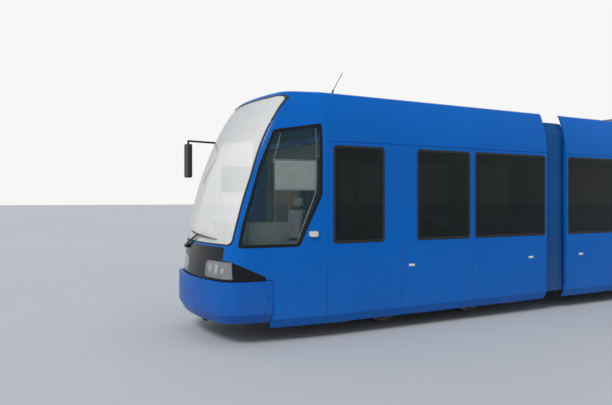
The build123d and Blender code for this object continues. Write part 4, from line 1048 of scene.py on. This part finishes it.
def swollen(piece):
    """Remeshes the piece, lets cloth swell it under pressure and limits how far each point may go."""
    scene = bpy.context.scene
    remesh = piece.modifiers.new("even_skin", "REMESH")
    remesh.mode, remesh.voxel_size = "VOXEL", SKIN_VOXEL
    skin = bpy.data.meshes.new_from_object(evaluated(piece))
    piece.modifiers.clear()
    piece.data = skin
    start = read_array(skin.vertices, "co", 3, float)
    cloth = piece.modifiers.new("filling", "CLOTH")
    cloth.settings.use_pressure = True
    cloth.settings.uniform_pressure_force = FILLING_PRESSURE
    cloth.settings.effector_weights.gravity = 0
    cloth.settings.quality = 4
    for moment in range(1, SWELL_FRAMES + 1):
        scene.frame_set(moment)
    move = read_array(evaluated(piece).data.vertices, "co", 3, float) - start
    length = np.linalg.norm(move, axis=1)
    keep = np.minimum(1, SWELL_LIMIT / np.maximum(length, 1e-9))
    piece.modifiers.clear()
    skin.vertices.foreach_set("co", (start + move * keep[:, None]).ravel())
    scene.frame_set(1)
    print(piece.name, "swelled by up to", (length * keep).max().round(4), "m")
    return piece


def sewn(piece):
    """Presses the channels in: two lengthwise on seat and back, one across the back at shoulder height."""
    mesh = piece.data
    place, normal = (read_array(mesh.vertices, name, 3, float) for name in ("co", "normal"))
    local = place - DRIVER
    shown = np.clip(np.where(local[:, 2] > 1.2, -normal[:, 0], normal[:, 2]), 0, 1) * (local[:, 2] < 1.81)
    depth = sum(np.exp(-((local[:, 1] - y) / 0.008) ** 2) for y in (-0.13, 0.13))
    depth = np.maximum(depth, np.exp(-((local[:, 2] - 1.56) / 0.009) ** 2) * (np.abs(local[:, 1]) < 0.13))
    mesh.vertices.foreach_set("co", (place - normal * (0.007 * depth * shown)[:, None]).ravel())
    mesh.update()
    return piece


for name, (points, faces) in zip(("driver_cushion", "driver_back_cushion", "driver_head_rest"), cushion_starts()):
    cushion = sewn(swollen(turn_outwards(new_mesh(name, points + DRIVER, faces))))
    cushion.data.polygons.foreach_set("use_smooth", np.full(len(cushion.data.polygons), True))
    smoother = cushion.modifiers.new("smoother", "SUBSURF")
    smoother.levels = smoother.render_levels = 1
    dress(cushion, "front_section", "driver_cloth")

# %% [markdown]
# ## The driver's seat frame
#
# Round pieces are turned, and pressed pieces are soft boxes. The bellows hides the spring column, and its
# folds are only a turned profile whose radius goes up and down like a wave.

# %% Driver's seat frame
TURNTABLE = [(0.659, 0.175), (0.690, 0.175), (0.702, 0.165), (0.712, 0.150)]
COLLAR = [(1.06, 0.10), (1.07, 0.16), (1.085, 0.16), (1.09, 0.12)]
BELLOWS = [(0.710 + 0.36 * k, 0.150 + 0.012 * np.cos(2 * np.pi * 6 * k) - 0.03 * k) for k in np.linspace(0, 1, 61)]


def driver_frame():
    """Turntable, collar, pan and back shell; on each side an arm rest on its bent rod, and a head-rest post."""
    shell, faces = soft_box_patch((0.216, -0.222, 1.130), (0.238, 0.222, 1.800), 0.010, 5)
    patches = [lathe_patch(TURNTABLE, DRIVER, size=40), lathe_patch(COLLAR, DRIVER, size=40),
               soft_box_patch(DRIVER + (-0.222, -0.225, 1.084), DRIVER + (0.205, 0.225, 1.114), 0.014),
               (leaned(shell) + DRIVER, faces)]
    for side in (-1, 1):
        y = side * 0.262
        bar = np.array([[0.20, y, 1.345], [0.215, y, 1.24], [0.22, side * 0.245, 1.17], [0.20, side * 0.22, 1.12]])
        post = np.array([[0.208, side * 0.06, 1.770], [0.212, side * 0.06, 1.850]])
        patches += [soft_box_patch(DRIVER + (-0.115, y - 0.026, 1.335), DRIVER + (0.235, y + 0.026, 1.378), 0.016),
                    rod_patch(DRIVER + bar, 0.013), rod_patch(leaned(post) + DRIVER, 0.007, 10)]
    return patches


seat_frame = build("driver_seat_frame", driver_frame(), "front_section", "mirror_plastic")
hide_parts("driver_seat")
build("driver_seat_bellows", [lathe_patch(BELLOWS, DRIVER, size=40)], "front_section", "seal_rubber")

# %% [markdown]
# ## Sun blinds
#
# The sun blind hangs just inside the side glass and slides on two bent rods. The glass is curved, so the
# blind's grid and the rods are dropped onto the inside of it and then moved in by their gap, which keeps them
# parallel to it everywhere.

# %% Sun blinds and their rails
GLASS = triangles_of("cab_side_windows")
BLIND_GAP, BLIND_SHEET, BLIND_BAR = 0.022, 0.003, 0.010
BLIND_GRID = np.meshgrid(np.linspace(-9.33, -8.74, 25), np.linspace(2.47, 2.06, 13), indexing="ij")
BLIND_RAILS = (
    ([(-8.735, 2.94), (-8.735, 2.60), (-8.735, 2.20), (-8.760, 2.00), (-8.89, 1.68), (-9.02, 1.36)], 0.024, 0.009),
    ([(-9.205, 2.90), (-9.27, 2.70), (-9.34, 2.46), (-9.345, 2.20), (-9.345, 1.90), (-9.345, 1.36)], 0.024, 0.005),
    ([(-9.345, 2.475), (-9.04, 2.475), (-8.735, 2.475)], 0.030, 0.014),
)


def glass_reach(side, x, z):
    """How far out the side glass is beside a line of points. Points past its edge take what their neighbours have."""
    place, _, hit = drop_onto(np.column_stack([x, np.zeros(len(x)), z]), (0.0, float(side), 0.0), GLASS)
    index = np.arange(len(x))
    return np.interp(index, index[hit], place[hit, 1])


def blind_patch(side):
    """A sheet 3 mm thick, 22 mm inside the glass, with a thicker bar along its lower edge."""
    x, z = BLIND_GRID
    glass = np.stack([glass_reach(side, *line) for line in zip(x, z)])
    depth = np.append(np.full(len(z[0]) - 1, BLIND_SHEET), BLIND_BAR)
    near = np.stack([x, glass - side * BLIND_GAP, z], axis=2)
    far = np.stack([x, glass - side * (BLIND_GAP + depth), z], axis=2)
    return tube_patch(np.concatenate([near, far[:, ::-1]], axis=1))


def blind_rail(side, corners, gap, radius):
    """A bent rod inside the side glass: its corners are drawn in side view, rounded and dropped onto the glass."""
    x, z = fine_path(corners, 40).T
    return rod_patch(np.column_stack([x, glass_reach(side, x, z) - side * gap, z]), radius, 10)


build("cab_side_blinds", [blind_patch(side) for side in (-1, 1)], "front_section", "blind_cloth")
rails = [blind_rail(side, *rail) for side in (-1, 1) for rail in BLIND_RAILS]
build("cab_blind_rails", rails, "front_section", "collector_metal")

# %% [markdown]
# ## The driver's desk
#
# Three displays stand on the desk, leaned back so that the driver looks square onto them, beside levers and
# rows of buttons. A display is a soft box turned about the line across the cab, with a thin dark face on it.
# The faces stay empty.

# %% Displays, levers and buttons
DISPLAY_LEAN, DISPLAYS_Y, LEVER_FOOT = 0.45, (-0.42, 0.05, 0.42), 1.618
BUTTON = [(0, 0.009), (0.010, 0.009), (0.013, 0.006)]
LEVERS = [(-9.25, -0.73, 0.11, 0.020), (-9.42, -0.70, 0.05, 0.012), (-9.42, -0.77, 0.05, 0.012)]


def display_patch(low, high, corner, y):
    """A soft box leaned back about the line across the cab, then set at its place on the desk."""
    points, faces = soft_box_patch(low, high, corner)
    s, c = np.sin(DISPLAY_LEAN), np.cos(DISPLAY_LEAN)
    return points @ np.array([[c, 0, -s], [0, 1, 0], [s, 0, c]]).T + np.array([-9.60, y, 1.500]), faces


def control_patches():
    """Levers with round knobs, and twelve buttons that follow the slope of the desk."""
    patches = []
    for x, y, tall, r in LEVERS:
        knob = [(-r, r * 0.3), (-r * 0.7, r * 0.85), (0, r), (r * 0.7, r * 0.8), (r, r * 0.2)]
        stick = [(x, y, LEVER_FOOT - 0.005), (x + 0.01, y, LEVER_FOOT + tall * 0.5), (x + 0.02, y, LEVER_FOOT + tall)]
        patches += [rod_patch(stick, r * 0.45, 12), lathe_patch(knob, stick[2], size=20)]
    for k in range(12):
        x, y = -9.52 + 0.03 * (k % 4), -0.25 + 0.22 * (k // 4)
        patches.append(lathe_patch(BUTTON, (x, y, 1.418 - 0.30 * (x + 9.64) - 0.010), size=14))
    return patches


cases, fronts = [], []
for y in DISPLAYS_Y:
    cases += [display_patch((-0.016, -0.155, -0.105), (0.016, 0.155, 0.105), 0.012, y),
              soft_box_patch((-9.63, y - 0.04, 1.385), (-9.59, y + 0.04, 1.47), 0.008)]
    fronts.append(display_patch((0.011, -0.135, -0.085), (0.0175, 0.135, 0.085), 0.003, y))
cases.append(soft_box_patch((-9.62, -0.852, 1.588), (-9.05, -0.608, 1.622), 0.012))
build("desk_displays", cases, "front_section", "desk_grey")
build("desk_display_faces", fronts, "front_section", "display_black")
build("desk_controls", control_patches(), "front_section", "mirror_plastic")

# %% [markdown]
# ## Rails and lights under the ceiling
#
# The poles come from the CAD. Between them and along the aisle run ceiling rails with hanging loops. A rail is
# a rod whose ends turn up into the ceiling by a quarter circle. Each loop is a rod along a closed path.

# %% Ceiling rails, loops and lights
SALOONS = {"front": (-8.28, -5.10, (-0.52, 0.52)), "middle": (-2.85, 2.85, (-0.45, 0.60)),
           "rear": (5.10, 8.28, (-0.52, 0.52))}
CEILING, RAIL_Z, LOOP_Z, RAIL_BEND, LOOP_PITCH, LIGHT_Y = 2.758, 2.658, 2.655, 0.06, 0.36, 0.80
LOOP_CORNERS = [(-0.045, -0.155), (0.045, -0.155), (0.012, -0.245 + 0.155 - 0.01), (-0.012, -0.245 + 0.155 - 0.01)]
LOOP = rounded_loop(LOOP_CORNERS, 0.008, 5, 4)
ROSE = [(0, 0.028), (0.008, 0.026), (0.012, 0.012)]


def rail_patches(x0, x1, y, brackets=4):
    """A ceiling rail with upturned ends, and its brackets."""
    turn = np.linspace(0, np.pi / 2, 7)
    bend_x, bend_z = RAIL_BEND * (1 - np.cos(turn)), RAIL_BEND * (1 - np.sin(turn))
    x = np.concatenate([[x0], x0 + bend_x, x1 - bend_x[::-1], [x1]])
    z = np.concatenate([[CEILING], RAIL_Z + bend_z, RAIL_Z + bend_z[::-1], [CEILING]])
    patches = [rod_patch(np.stack([x, np.full(len(x), y), z], axis=1), 0.016)]
    for bracket in np.linspace(x0 + 0.6, x1 - 0.6, brackets):
        patches += [rod_patch([(bracket, y, LOOP_Z), (bracket, y, CEILING + 0.001)], 0.010, 10),
                    lathe_patch(ROSE, (bracket, y, CEILING + 0.002), (0, 0, -1), 20)]
    return patches


def strap_patches(x, y, z):
    """A hanging handle: a flat strap and a rounded triangle of rod below it."""
    path = np.stack([x + LOOP[:, 0], np.full(len(LOOP), y), z + LOOP[:, 1]], axis=1)
    strap = soft_box_patch((x - 0.012, y - 0.003, z - 0.105), (x + 0.012, y + 0.003, z + 0.012), 0.002, 3)
    return [rod_patch(path, 0.006, 8, closed=True), strap]


for section, (x0, x1, lines) in SALOONS.items():
    rails = [patch for y in lines for patch in rail_patches(x0, x1, y)]
    straps = [patch for y in lines for x in np.arange(x0 + 0.45, x1 - 0.4, LOOP_PITCH)
              for patch in strap_patches(x, y, LOOP_Z)]
    lights = [soft_box_patch((x0, side * LIGHT_Y - 0.07, 2.730), (x1, side * LIGHT_Y + 0.07, 2.7605), 0.012)
              for side in (-1, 1)]
    body = f"{section}_section"
    build(f"{section}_ceiling_rails", rails, body, "rail_yellow")
    build(f"{section}_hanging_loops", straps, body, "mirror_plastic")
    build(f"{section}_ceiling_lights", lights, body, "light_cover")

# %% [markdown]
# ## Roof equipment
#
# The fairings hide most of this from the street, but not from a balcony. Louvre slats are plain prisms, as
# there are many of them. A fan guard is a set of rings and spokes of rod, and the fan under it is a turned hub
# with twisted blades, each a small grid whose angle changes from root to tip.

# %% Slats, lids and fans
DECK, UNIT_TOP = 2.84, 3.33
UNITS = {"front": [(-7.95, -6.15, 0.78, UNIT_TOP, 6), (-5.90, -5.15, 0.64, 3.25, 3)],
         "middle": [(-3.20, -1.50, 0.78, UNIT_TOP, 5)],
         "rear": [(6.15, 7.95, 0.78, UNIT_TOP, 6), (5.15, 5.90, 0.64, 3.25, 3)]}
FANS = {"front": (-7.55, -7.05, -6.55), "middle": (-2.70, -2.00), "rear": (7.55, 7.05, 6.55)}
SLAT_ROWS, FAN_BLADES, FAN_SPOKES, WIRE, GUARD_RINGS = 8, 7, 8, 0.0028, (0.06, 0.12, 0.18)
# Profile of the thin black disc under each fan: painted shade for the dark inside of the fan's opening.
FAN_SHADE_DISC = [(0.0, 0.0005), (0.0, 0.235), (0.002, 0.235), (0.002, 0.0005)]
HUB = [(0, 0.055), (0.016, 0.05), (0.022, 0.03)]
GUARD_RIM = [(0.0, 0.232), (0.030, 0.232), (0.034, 0.238), (0.030, 0.252), (0.0, 0.258)]
BOLT = [(0.0, 0.013), (0.005, 0.013), (0.009, 0.009)]


def prism_patch(low, high, lean=0.0):
    """A plain box whose upper edge is pushed sideways, in y, by a lean."""
    (x0, y0, z0), (x1, y1, z1) = low, high
    ring = np.array([[x0, y0, z0], [x1, y0, z0], [x1, y1, z0], [x0, y1, z0]], float)
    faces = [(3, 2, 1, 0), (4, 5, 6, 7), (0, 1, 5, 4), (1, 2, 6, 5), (2, 3, 7, 6), (3, 0, 4, 7)]
    return np.concatenate([ring, ring + (0, lean, z1 - z0)]), faces


def slats(x0, x1, half, top, slots):
    """Rows of leaning slats in the cooling slots of a unit."""
    pitch = (x1 - x0 - 0.2) / slots
    patches = []
    for start in x0 + 0.1 + pitch * (np.arange(slots) + 0.2):
        for side in (-1, 1):
            y0, y1 = sorted((side * (half - 0.026), side * (half - 0.020)))
            patches += [prism_patch((start - 0.002, y0, z), (start + pitch * 0.6 + 0.002, y1, z + 0.034), side * 0.018)
                        for z in np.linspace(DECK + 0.09, top - 0.15, SLAT_ROWS)]
    return patches


def lid_patches(x0, x1, half, top, _):
    """Lifting eyes at the corners, a row of fasteners along both shoulders, and the lid joints."""
    t = np.linspace(0, np.pi, 13)
    patches = []
    for x in (x0 + 0.14, x1 - 0.14):
        for side in (-1, 1):
            eye = [x + 0.035 * np.cos(t), np.full(13, side * (half - 0.14)), top - 0.004 + 0.034 * np.sin(t)]
            patches.append(rod_patch(np.stack(eye, axis=1), 0.008, 10))
    patches += [lathe_patch(BOLT, (x, side * (half - 0.085), top), size=12)
                for x in np.arange(x0 + 0.1, x1 - 0.05, 0.2) for side in (-1, 1)]
    return patches + [prism_patch((x - 0.010, -half + 0.07, top - 0.001), (x + 0.010, half - 0.07, top + 0.004))
                      for x in np.linspace(x0, x1, 4)[1:-1]]


def blade_patch(centre, angle, root=0.05, tip=0.205, chord=0.085 * 0.35, count=9):
    """A fan blade: from root to tip its pitch falls from 50 to 20 degrees; it is 3 mm thick."""
    pitch = np.radians(np.linspace(50, 20, count))[:, None]
    out = np.array([np.cos(angle), np.sin(angle), 0.0])
    side = np.array([-np.sin(angle), np.cos(angle), 0.0])
    edge = (np.cos(pitch) * side - np.sin(pitch) * (0, 0, 1)) * chord / 2
    thick = 0.0015 * np.array(Z_AXIS)
    middle = np.asarray(centre) + np.linspace(root, tip, count)[:, None] * out
    corners = [middle - edge - thick, middle + edge - thick, middle + edge + thick, middle - edge + thick]
    return tube_patch(np.stack(corners, axis=1))


def guard_patches(x):
    """A fan's guard: its rim, three rings and the spokes."""
    t = np.linspace(0, 2 * np.pi, 33)
    patches = [washer_patch(GUARD_RIM, (x, 0, UNIT_TOP), size=48)]
    for radius in GUARD_RINGS:
        ring = np.stack([x + radius * np.cos(t), radius * np.sin(t), np.full(33, UNIT_TOP + 0.031)], axis=1)
        patches.append(rod_patch(ring, WIRE, 6))
    for angle in np.arange(FAN_SPOKES) * 2 * np.pi / FAN_SPOKES:
        way = np.array([np.cos(angle), np.sin(angle), 0])
        ends = [np.array([x, 0, UNIT_TOP + 0.031]) + way * 0.03, np.array([x, 0, UNIT_TOP + 0.030]) + way * 0.236]
        patches.append(rod_patch(ends, WIRE, 6))
    return patches


def wheel_patches(x):
    """A fan's hub and its blades."""
    turns = np.arange(FAN_BLADES) * 2 * np.pi / FAN_BLADES
    hub = lathe_patch(HUB, (x, 0, UNIT_TOP + 0.002), size=24)
    return [hub] + [blade_patch((x, 0, UNIT_TOP + 0.013), angle) for angle in turns]


print("a fan guard has", len(guard_patches(0)), "parts")

# %% [markdown]
# ## Cables on the roof
#
# Cables run along the deck in lidded trunks with clamps. The trunks are long soft boxes and the clamps are
# short ones, a little wider. Two bare conduits beside one of them are rods.

# %% Conduits and the roof's pieces
CONDUITS = {"front": (-8.05, -5.08), "middle": (-2.72, 2.72), "rear": (5.08, 8.05)}


def conduit_patches(x0, x1):
    """A lidded cable trunk on each side of the deck, with clamps, and two bare conduits beside one of them."""
    patches = []
    for side in (-1, 1):
        patches.append(side_box(side, (x0, 0.84, DECK - 0.001), (x1, 0.93, DECK + 0.055), 0.008, 3))
        patches += [side_box(side, (x, 0.832, DECK - 0.001), (x + 0.03, 0.938, DECK + 0.062), 0.005, 3)
                    for x in np.arange(x0 + 0.2, x1 - 0.1, 0.55)]
    return patches + [rod_patch([(x, y, DECK + 0.012) for x in (x0, (x0 + x1) / 2, x1)], 0.011, 10)
                      for y in (0.965, 0.99)]


for section, units in UNITS.items():
    fans = FANS[section]
    for kind, made, material, slot in (
        ("roof_louvres", [slats(*unit) for unit in units], "roof_paint", "roof_grey"),
        ("roof_lids", [lid_patches(*unit) for unit in units], "roof_paint", "roof_grey"),
        # Under each fan lies a thin black disc: painted shade that stands for the dark inside of the fan's opening.
        ("fan_shade_discs", [[washer_patch(FAN_SHADE_DISC, (x, 0, UNIT_TOP))] for x in fans], "display_black", "running_gear"),
        ("fan_blades", [wheel_patches(x) for x in fans], "collector_metal", "collector_steel"),
        ("fan_guards", [guard_patches(x) for x in fans], "frame_paint", "running_gear"),
        ("roof_conduits", [conduit_patches(*CONDUITS[section])], "roof_paint", "roof_grey"),
    ):
        build(f"{section}_{kind}", sum(made, []), f"{section}_section", material)

# %% [markdown]
# ## Linings and walking mats
#
# Inside, thin panels cover the walls below and above the windows, and a sheet closes the ceiling. On the roof a
# rough mat gives a foothold. All are flat sheets with sharp edges, so they are prisms with flat shading.

# %% Walking mats and inside linings
LINED = {"front": (-8.44, -4.20, (-8.44, -5.08), [(-8.44, -7.64)]),
         "middle": (-3.60, 3.60, (-2.72, 2.72), [(-2.44, -1.10), (1.10, 2.44)]),
         "rear": (4.20, 8.44, (5.08, 8.44), [(7.64, 8.44)])}
LINING_Y, LINING_HEIGHTS = (1.0745, 1.0795), ((0.382, 1.300), (2.700, 2.756))


def lining_patches(x0, x1, ceiling, doors):
    """Panels below the windows, a frieze above them and a ceiling sheet. Doorways on the right are left free.
    The ceiling sheet stops where the deck above it turns round, so that it never reaches over a drum."""
    patches = [prism_patch((ceiling[0], -1.07, 2.7562), (ceiling[1], 1.07, 2.7592))]
    edges = sorted([x0, x1] + [x for door in doors for x in door])
    beside = [(a, b) for a, b in zip(edges, edges[1:]) if (a, b) not in doors and b - a > 0.05]
    for side, stretches in ((-1, [(x0, x1)]), (1, beside)):
        y0, y1 = sorted(side * y for y in LINING_Y)
        patches += [prism_patch((a, y0, low), (b, y1, high))
                    for a, b in stretches for low, high in LINING_HEIGHTS]
    return patches


for section, numbers in LINED.items():
    body, (start, end) = f"{section}_section", CONDUITS[section]
    build(f"{section}_linings", lining_patches(*numbers), body, "interior_panel", smooth=False)
    mat = prism_patch((start, -0.835, DECK), (end, 0.835, DECK + 0.003))
    build(f"{section}_roof_mat", [mat], body, "roof_mat", smooth=False)

# %% [markdown]
# ## Pantograph details
#
# Each post insulator is a stack of sheds: one profile whose radius rises and falls, turned round the post.
# The contact strips carry replaceable carbon, and springs are a rod along a helix.

# %% Insulators, carbons and springs
SHEDS, POST_FOOT, POST_TOP = 6, 2.845, 3.205
HEAD_AT = np.array([-0.2535, 0.0, 3.5971])
SPRING_Z, HOSE = 3.262, [(0.31, 3.05), (0.31, 3.12), (0.25, 3.20), (0.12, 3.23), (-0.06, 3.22)]


def coil_patch(start, end, radius, wire, turns):
    """Helix from start to end: centre line + radius (cos, sin) of the turning angle, swept by a round wire."""
    start, end = np.asarray(start, float), np.asarray(end, float)
    across, up = square_to((end - start) / np.linalg.norm(end - start), (0.0, 1.0, 0.0), Z_AXIS)
    t = np.linspace(0, 1, int(16 * turns) + 1)[:, None]
    angle = 2 * np.pi * turns * t
    return rod_patch(start + (end - start) * t + radius * (np.cos(angle) * across + np.sin(angle) * up), wire, 8)


def shed_profile():
    """Heights and radii of a post. The radius is 60 mm + 26 mm |sin|^0.6, with one wave for each shed."""
    k = np.linspace(0, 1, SHEDS * 8 + 1)
    return np.stack([POST_FOOT + (POST_TOP - POST_FOOT) * k, 0.060 + 0.026 * np.abs(np.sin(np.pi * SHEDS * k)) ** 0.6],
                    axis=1)


def spring_patches(y):
    """One balance spring: its coil, rod, two end plates and two blocks."""
    rod = [(x, y, SPRING_Z) for x in (-0.07, 0.10, 0.62)]
    patches = [coil_patch((0.10, y, SPRING_Z), (0.50, y, SPRING_Z), 0.028, 0.007, 12), rod_patch(rod, 0.010, 10)]
    patches += [lathe_patch([(0, 0.04), (0.012, 0.04)], (x, y, SPRING_Z), (1, 0, 0), 20) for x in (0.08, 0.51)]
    return patches + [soft_box_patch((x - 0.02, y - 0.02, 3.215), (x + 0.02, y + 0.02, 3.28), 0.005)
                      for x in (-0.10, 0.58)]


posts = [lathe_patch(shed_profile(), (x, y, 0), size=28) for x in (-0.50, 0.60) for y in (-0.52, 0.52)]
build("pantograph_insulators", posts, "middle_section", "insulator")
strips = [soft_box_patch(HEAD_AT + (x - 0.014, -0.51, 0.118), HEAD_AT + (x + 0.014, 0.51, 0.136), 0.005)
          for x in (-0.18, 0.18)]
build("contact_carbons", strips, "pantograph_head", "carbon")
drive = [soft_box_patch((0.16, -0.14, 2.84), (0.46, 0.14, 3.06), 0.02),
         rod_patch([(x, 0.0, z) for x, z in HOSE], 0.012, 10)]
build("pantograph_springs", spring_patches(-0.40) + spring_patches(0.40) + drive, "middle_section",
      "collector_metal")

# %% [markdown]
# ## Articulation edges
#
# Where a section ends beside the drum, a rubber lip stops fingers and draughts. It is a rod down the inner
# corner of each end wall, kept 9 mm off the drum so that nothing rubs as the tram bends.

# %% Lips beside the drums
for section, ends in (("front", (-4.146,)), ("middle", (-3.654, 3.654)), ("rear", (4.146,))):
    lips = [rod_patch([(x, side * 1.094, z) for z in (0.40, 1.6, 2.74)], 0.007, 10) for x in ends for side in (-1, 1)]
    build(f"{section}_end_lips", lips, f"{section}_section", "seal_rubber")

# %% [markdown]
# ## Wheels
#
# A wheel that has run is dull on its sides and bright on the tread, so the tread gets a ring of its own,
# half a millimetre outside the CAD wheel, and it turns with it. The brake disc is a ring too, and the tyre's
# bolts are small turned heads.

# %% Bright treads, discs and bolts
AXLES = {"wheelset_1": -7.25, "wheelset_2": -5.45, "wheelset_3": 5.45, "wheelset_4": 7.25}
AXLE_Z, BOLT_CIRCLE = 0.357, 0.145
TREAD = [(0.5045, 0.3308), (0.5300, 0.3299), (0.5600, 0.3289), (0.5900, 0.3279), (0.5895, 0.3200), (0.5045, 0.3200)]
DISC = [(0.335, 0.085), (0.335, 0.190), (0.338, 0.193), (0.362, 0.193), (0.365, 0.190), (0.365, 0.085)]
TYRE_BOLT = [(0.530, 0.014), (0.541, 0.014), (0.546, 0.009)]
for body, x in AXLES.items():
    rings = [washer_patch(loop, (x, 0, AXLE_Z), (0, side, 0), size) for side in (-1, 1)
             for loop, size in ((TREAD, 96), (DISC, 64))]
    bolts = [lathe_patch(TYRE_BOLT, (x + BOLT_CIRCLE * np.cos(angle), 0, AXLE_Z + BOLT_CIRCLE * np.sin(angle)),
                         (0, side, 0), 8) for side in (-1, 1) for angle in np.arange(8) * np.pi / 4]
    build(f"{body}_treads", rings, body, "tread_steel")
    build(f"{body}_bolts", bolts, body, "wheel_steel")

# %% [markdown]
# ## Springs, dampers and pads
#
# Spring coils wrap the CAD's spring posts. The dampers are turned, and the stacks of rubber springs beside the
# axle boxes and the brake pads are soft boxes, all seated on the bogie frame.

# %% Springs, dampers and pads
DAMPER = [(0.420, 0.010), (0.430, 0.028), (0.590, 0.028), (0.600, 0.018), (0.615, 0.034), (0.740, 0.034),
          (0.750, 0.012), (0.775, 0.012)]
AXLE_CAP = [(0.870, 0.060), (0.885, 0.082), (0.900, 0.070), (0.903, 0.02)]
PADS = [(0.125, 0.250, 0.298, 0.331, 0.300, 0.414), (0.125, 0.250, 0.369, 0.402, 0.300, 0.414),
        (0.205, 0.262, 0.30, 0.40, 0.315, 0.400)]


def damper_patches(side, x):
    """A damper and the block that it stands on."""
    return [lathe_patch(DAMPER, (x, side * 0.852, 0.0), size=20),
            side_box(side, (x - 0.03, 0.79, 0.385), (x + 0.03, 0.87, 0.425), 0.008)]


def stack_patches(side, axle, layers=4):
    """The rubber springs before and behind an axle box, in thin layers."""
    starts = [(axle + way * (0.118 + 0.016 * layer), way) for way in (-1, 1) for layer in range(layers)]
    return [side_box(side, (x, 0.66, 0.255), (x + way * 0.010, 0.85, 0.345), 0.003, 3) for x, way in starts]


def brake_patches(side, axle, inwards):
    """The axle's cap, two brake pads that hold the disc, and their caliper."""
    return [lathe_patch(AXLE_CAP, (axle, 0, AXLE_Z), (0, side, 0), 28)] + [
        side_box(side, (axle + inwards * x0, y0, z0), (axle + inwards * x1, y1, z1), 0.008)
        for x0, x1, y0, y1, z0, z1 in PADS]


for end, centre in (("front", -6.35), ("rear", 6.35)):
    springs, metal, rubber = [], [], []
    for side in (-1, 1):
        y = side * 0.75
        springs.append(coil_patch((centre, y, 0.412), (centre, y, 0.512), 0.163, 0.012, 3.0))
        for away in (-0.47, 0.47):
            metal += damper_patches(side, centre + away)
        for way in (-1, 1):
            rubber += stack_patches(side, centre + way * 0.9)
            metal += brake_patches(side, centre + way * 0.9, -way)
    for kind, patches, material, slot in (("springs", springs, "frame_paint", "running_gear"),
                                          ("dampers", metal, "frame_paint", "running_gear"),
                                          ("rubber_springs", rubber, "seal_rubber", "mirror_black")):
        build(f"{end}_{kind}", patches, f"{end}_section", material)

# %% [markdown]
# ## Bumper fasteners and the blank destination box
#
# Two flush latches hold the bumper on each side. They are turned discs laid where a ray meets the bumper.
# Above the windscreen's inside hangs the destination box. Its face stays empty.

# %% Latches and destination box
BUMPER_SKIN = triangles_of("front_bumper")
LATCHES_AT = [(-9.458, 0.654), (-9.50, 0.447)]
LATCH = [(-0.002, 0.017), (0.0015, 0.017), (0.0025, 0.014), (0.0020, 0.006), (-0.001, 0.005)]
latches = [lathe_patch(LATCH, place, normal, 24) for side in (-1, 1)
           for place, normal, _ in zip(*dropped(LATCHES_AT, side, BUMPER_SKIN))]
build_section("front", "bumper_latches", latches, "seal_rubber")
box = [soft_box_patch((-9.20, -0.66, 2.96), (-9.06, 0.66, 3.19), 0.02)]
box += [rod_patch([(-9.13, y, 3.18), (-9.13, y, 3.3805)], 0.014, 10) for y in (-0.5, 0.5)]
build("destination_box", box, "front_section", "mirror_plastic")
face = soft_box_patch((-9.2035, -0.62, 2.99), (-9.198, 0.62, 3.16), 0.002, 3)
build("destination_face", [face], "front_section", "display_black")

# %% [markdown]
# ## Ground
#
# The tram needs something to stand on that catches its shadow. The street isn't rebuilt: a plain pale floor
# keeps the eye on the tram, and it is wide enough to end near the horizon. It is a coarse grid at z = 0.

# %% A pale floor
GROUND_REACH, GROUND_LINES = 240, 9
finish("ground_pale", (180, 184, 189), (184, 188, 192), 0.15, (0.7, 0.85), (20, 0.0004))
line = np.linspace(-GROUND_REACH, GROUND_REACH, GROUND_LINES)
x, y = np.meshgrid(line, line, indexing="ij")
floor = np.stack([x, y, np.zeros_like(x)], axis=2)
ground = new_mesh("ground", floor, grid_faces(GROUND_LINES, GROUND_LINES), smooth=False)
ground.data.materials.append(FINISHES["ground_pale"])
print("ground", 2 * GROUND_REACH, "m wide")
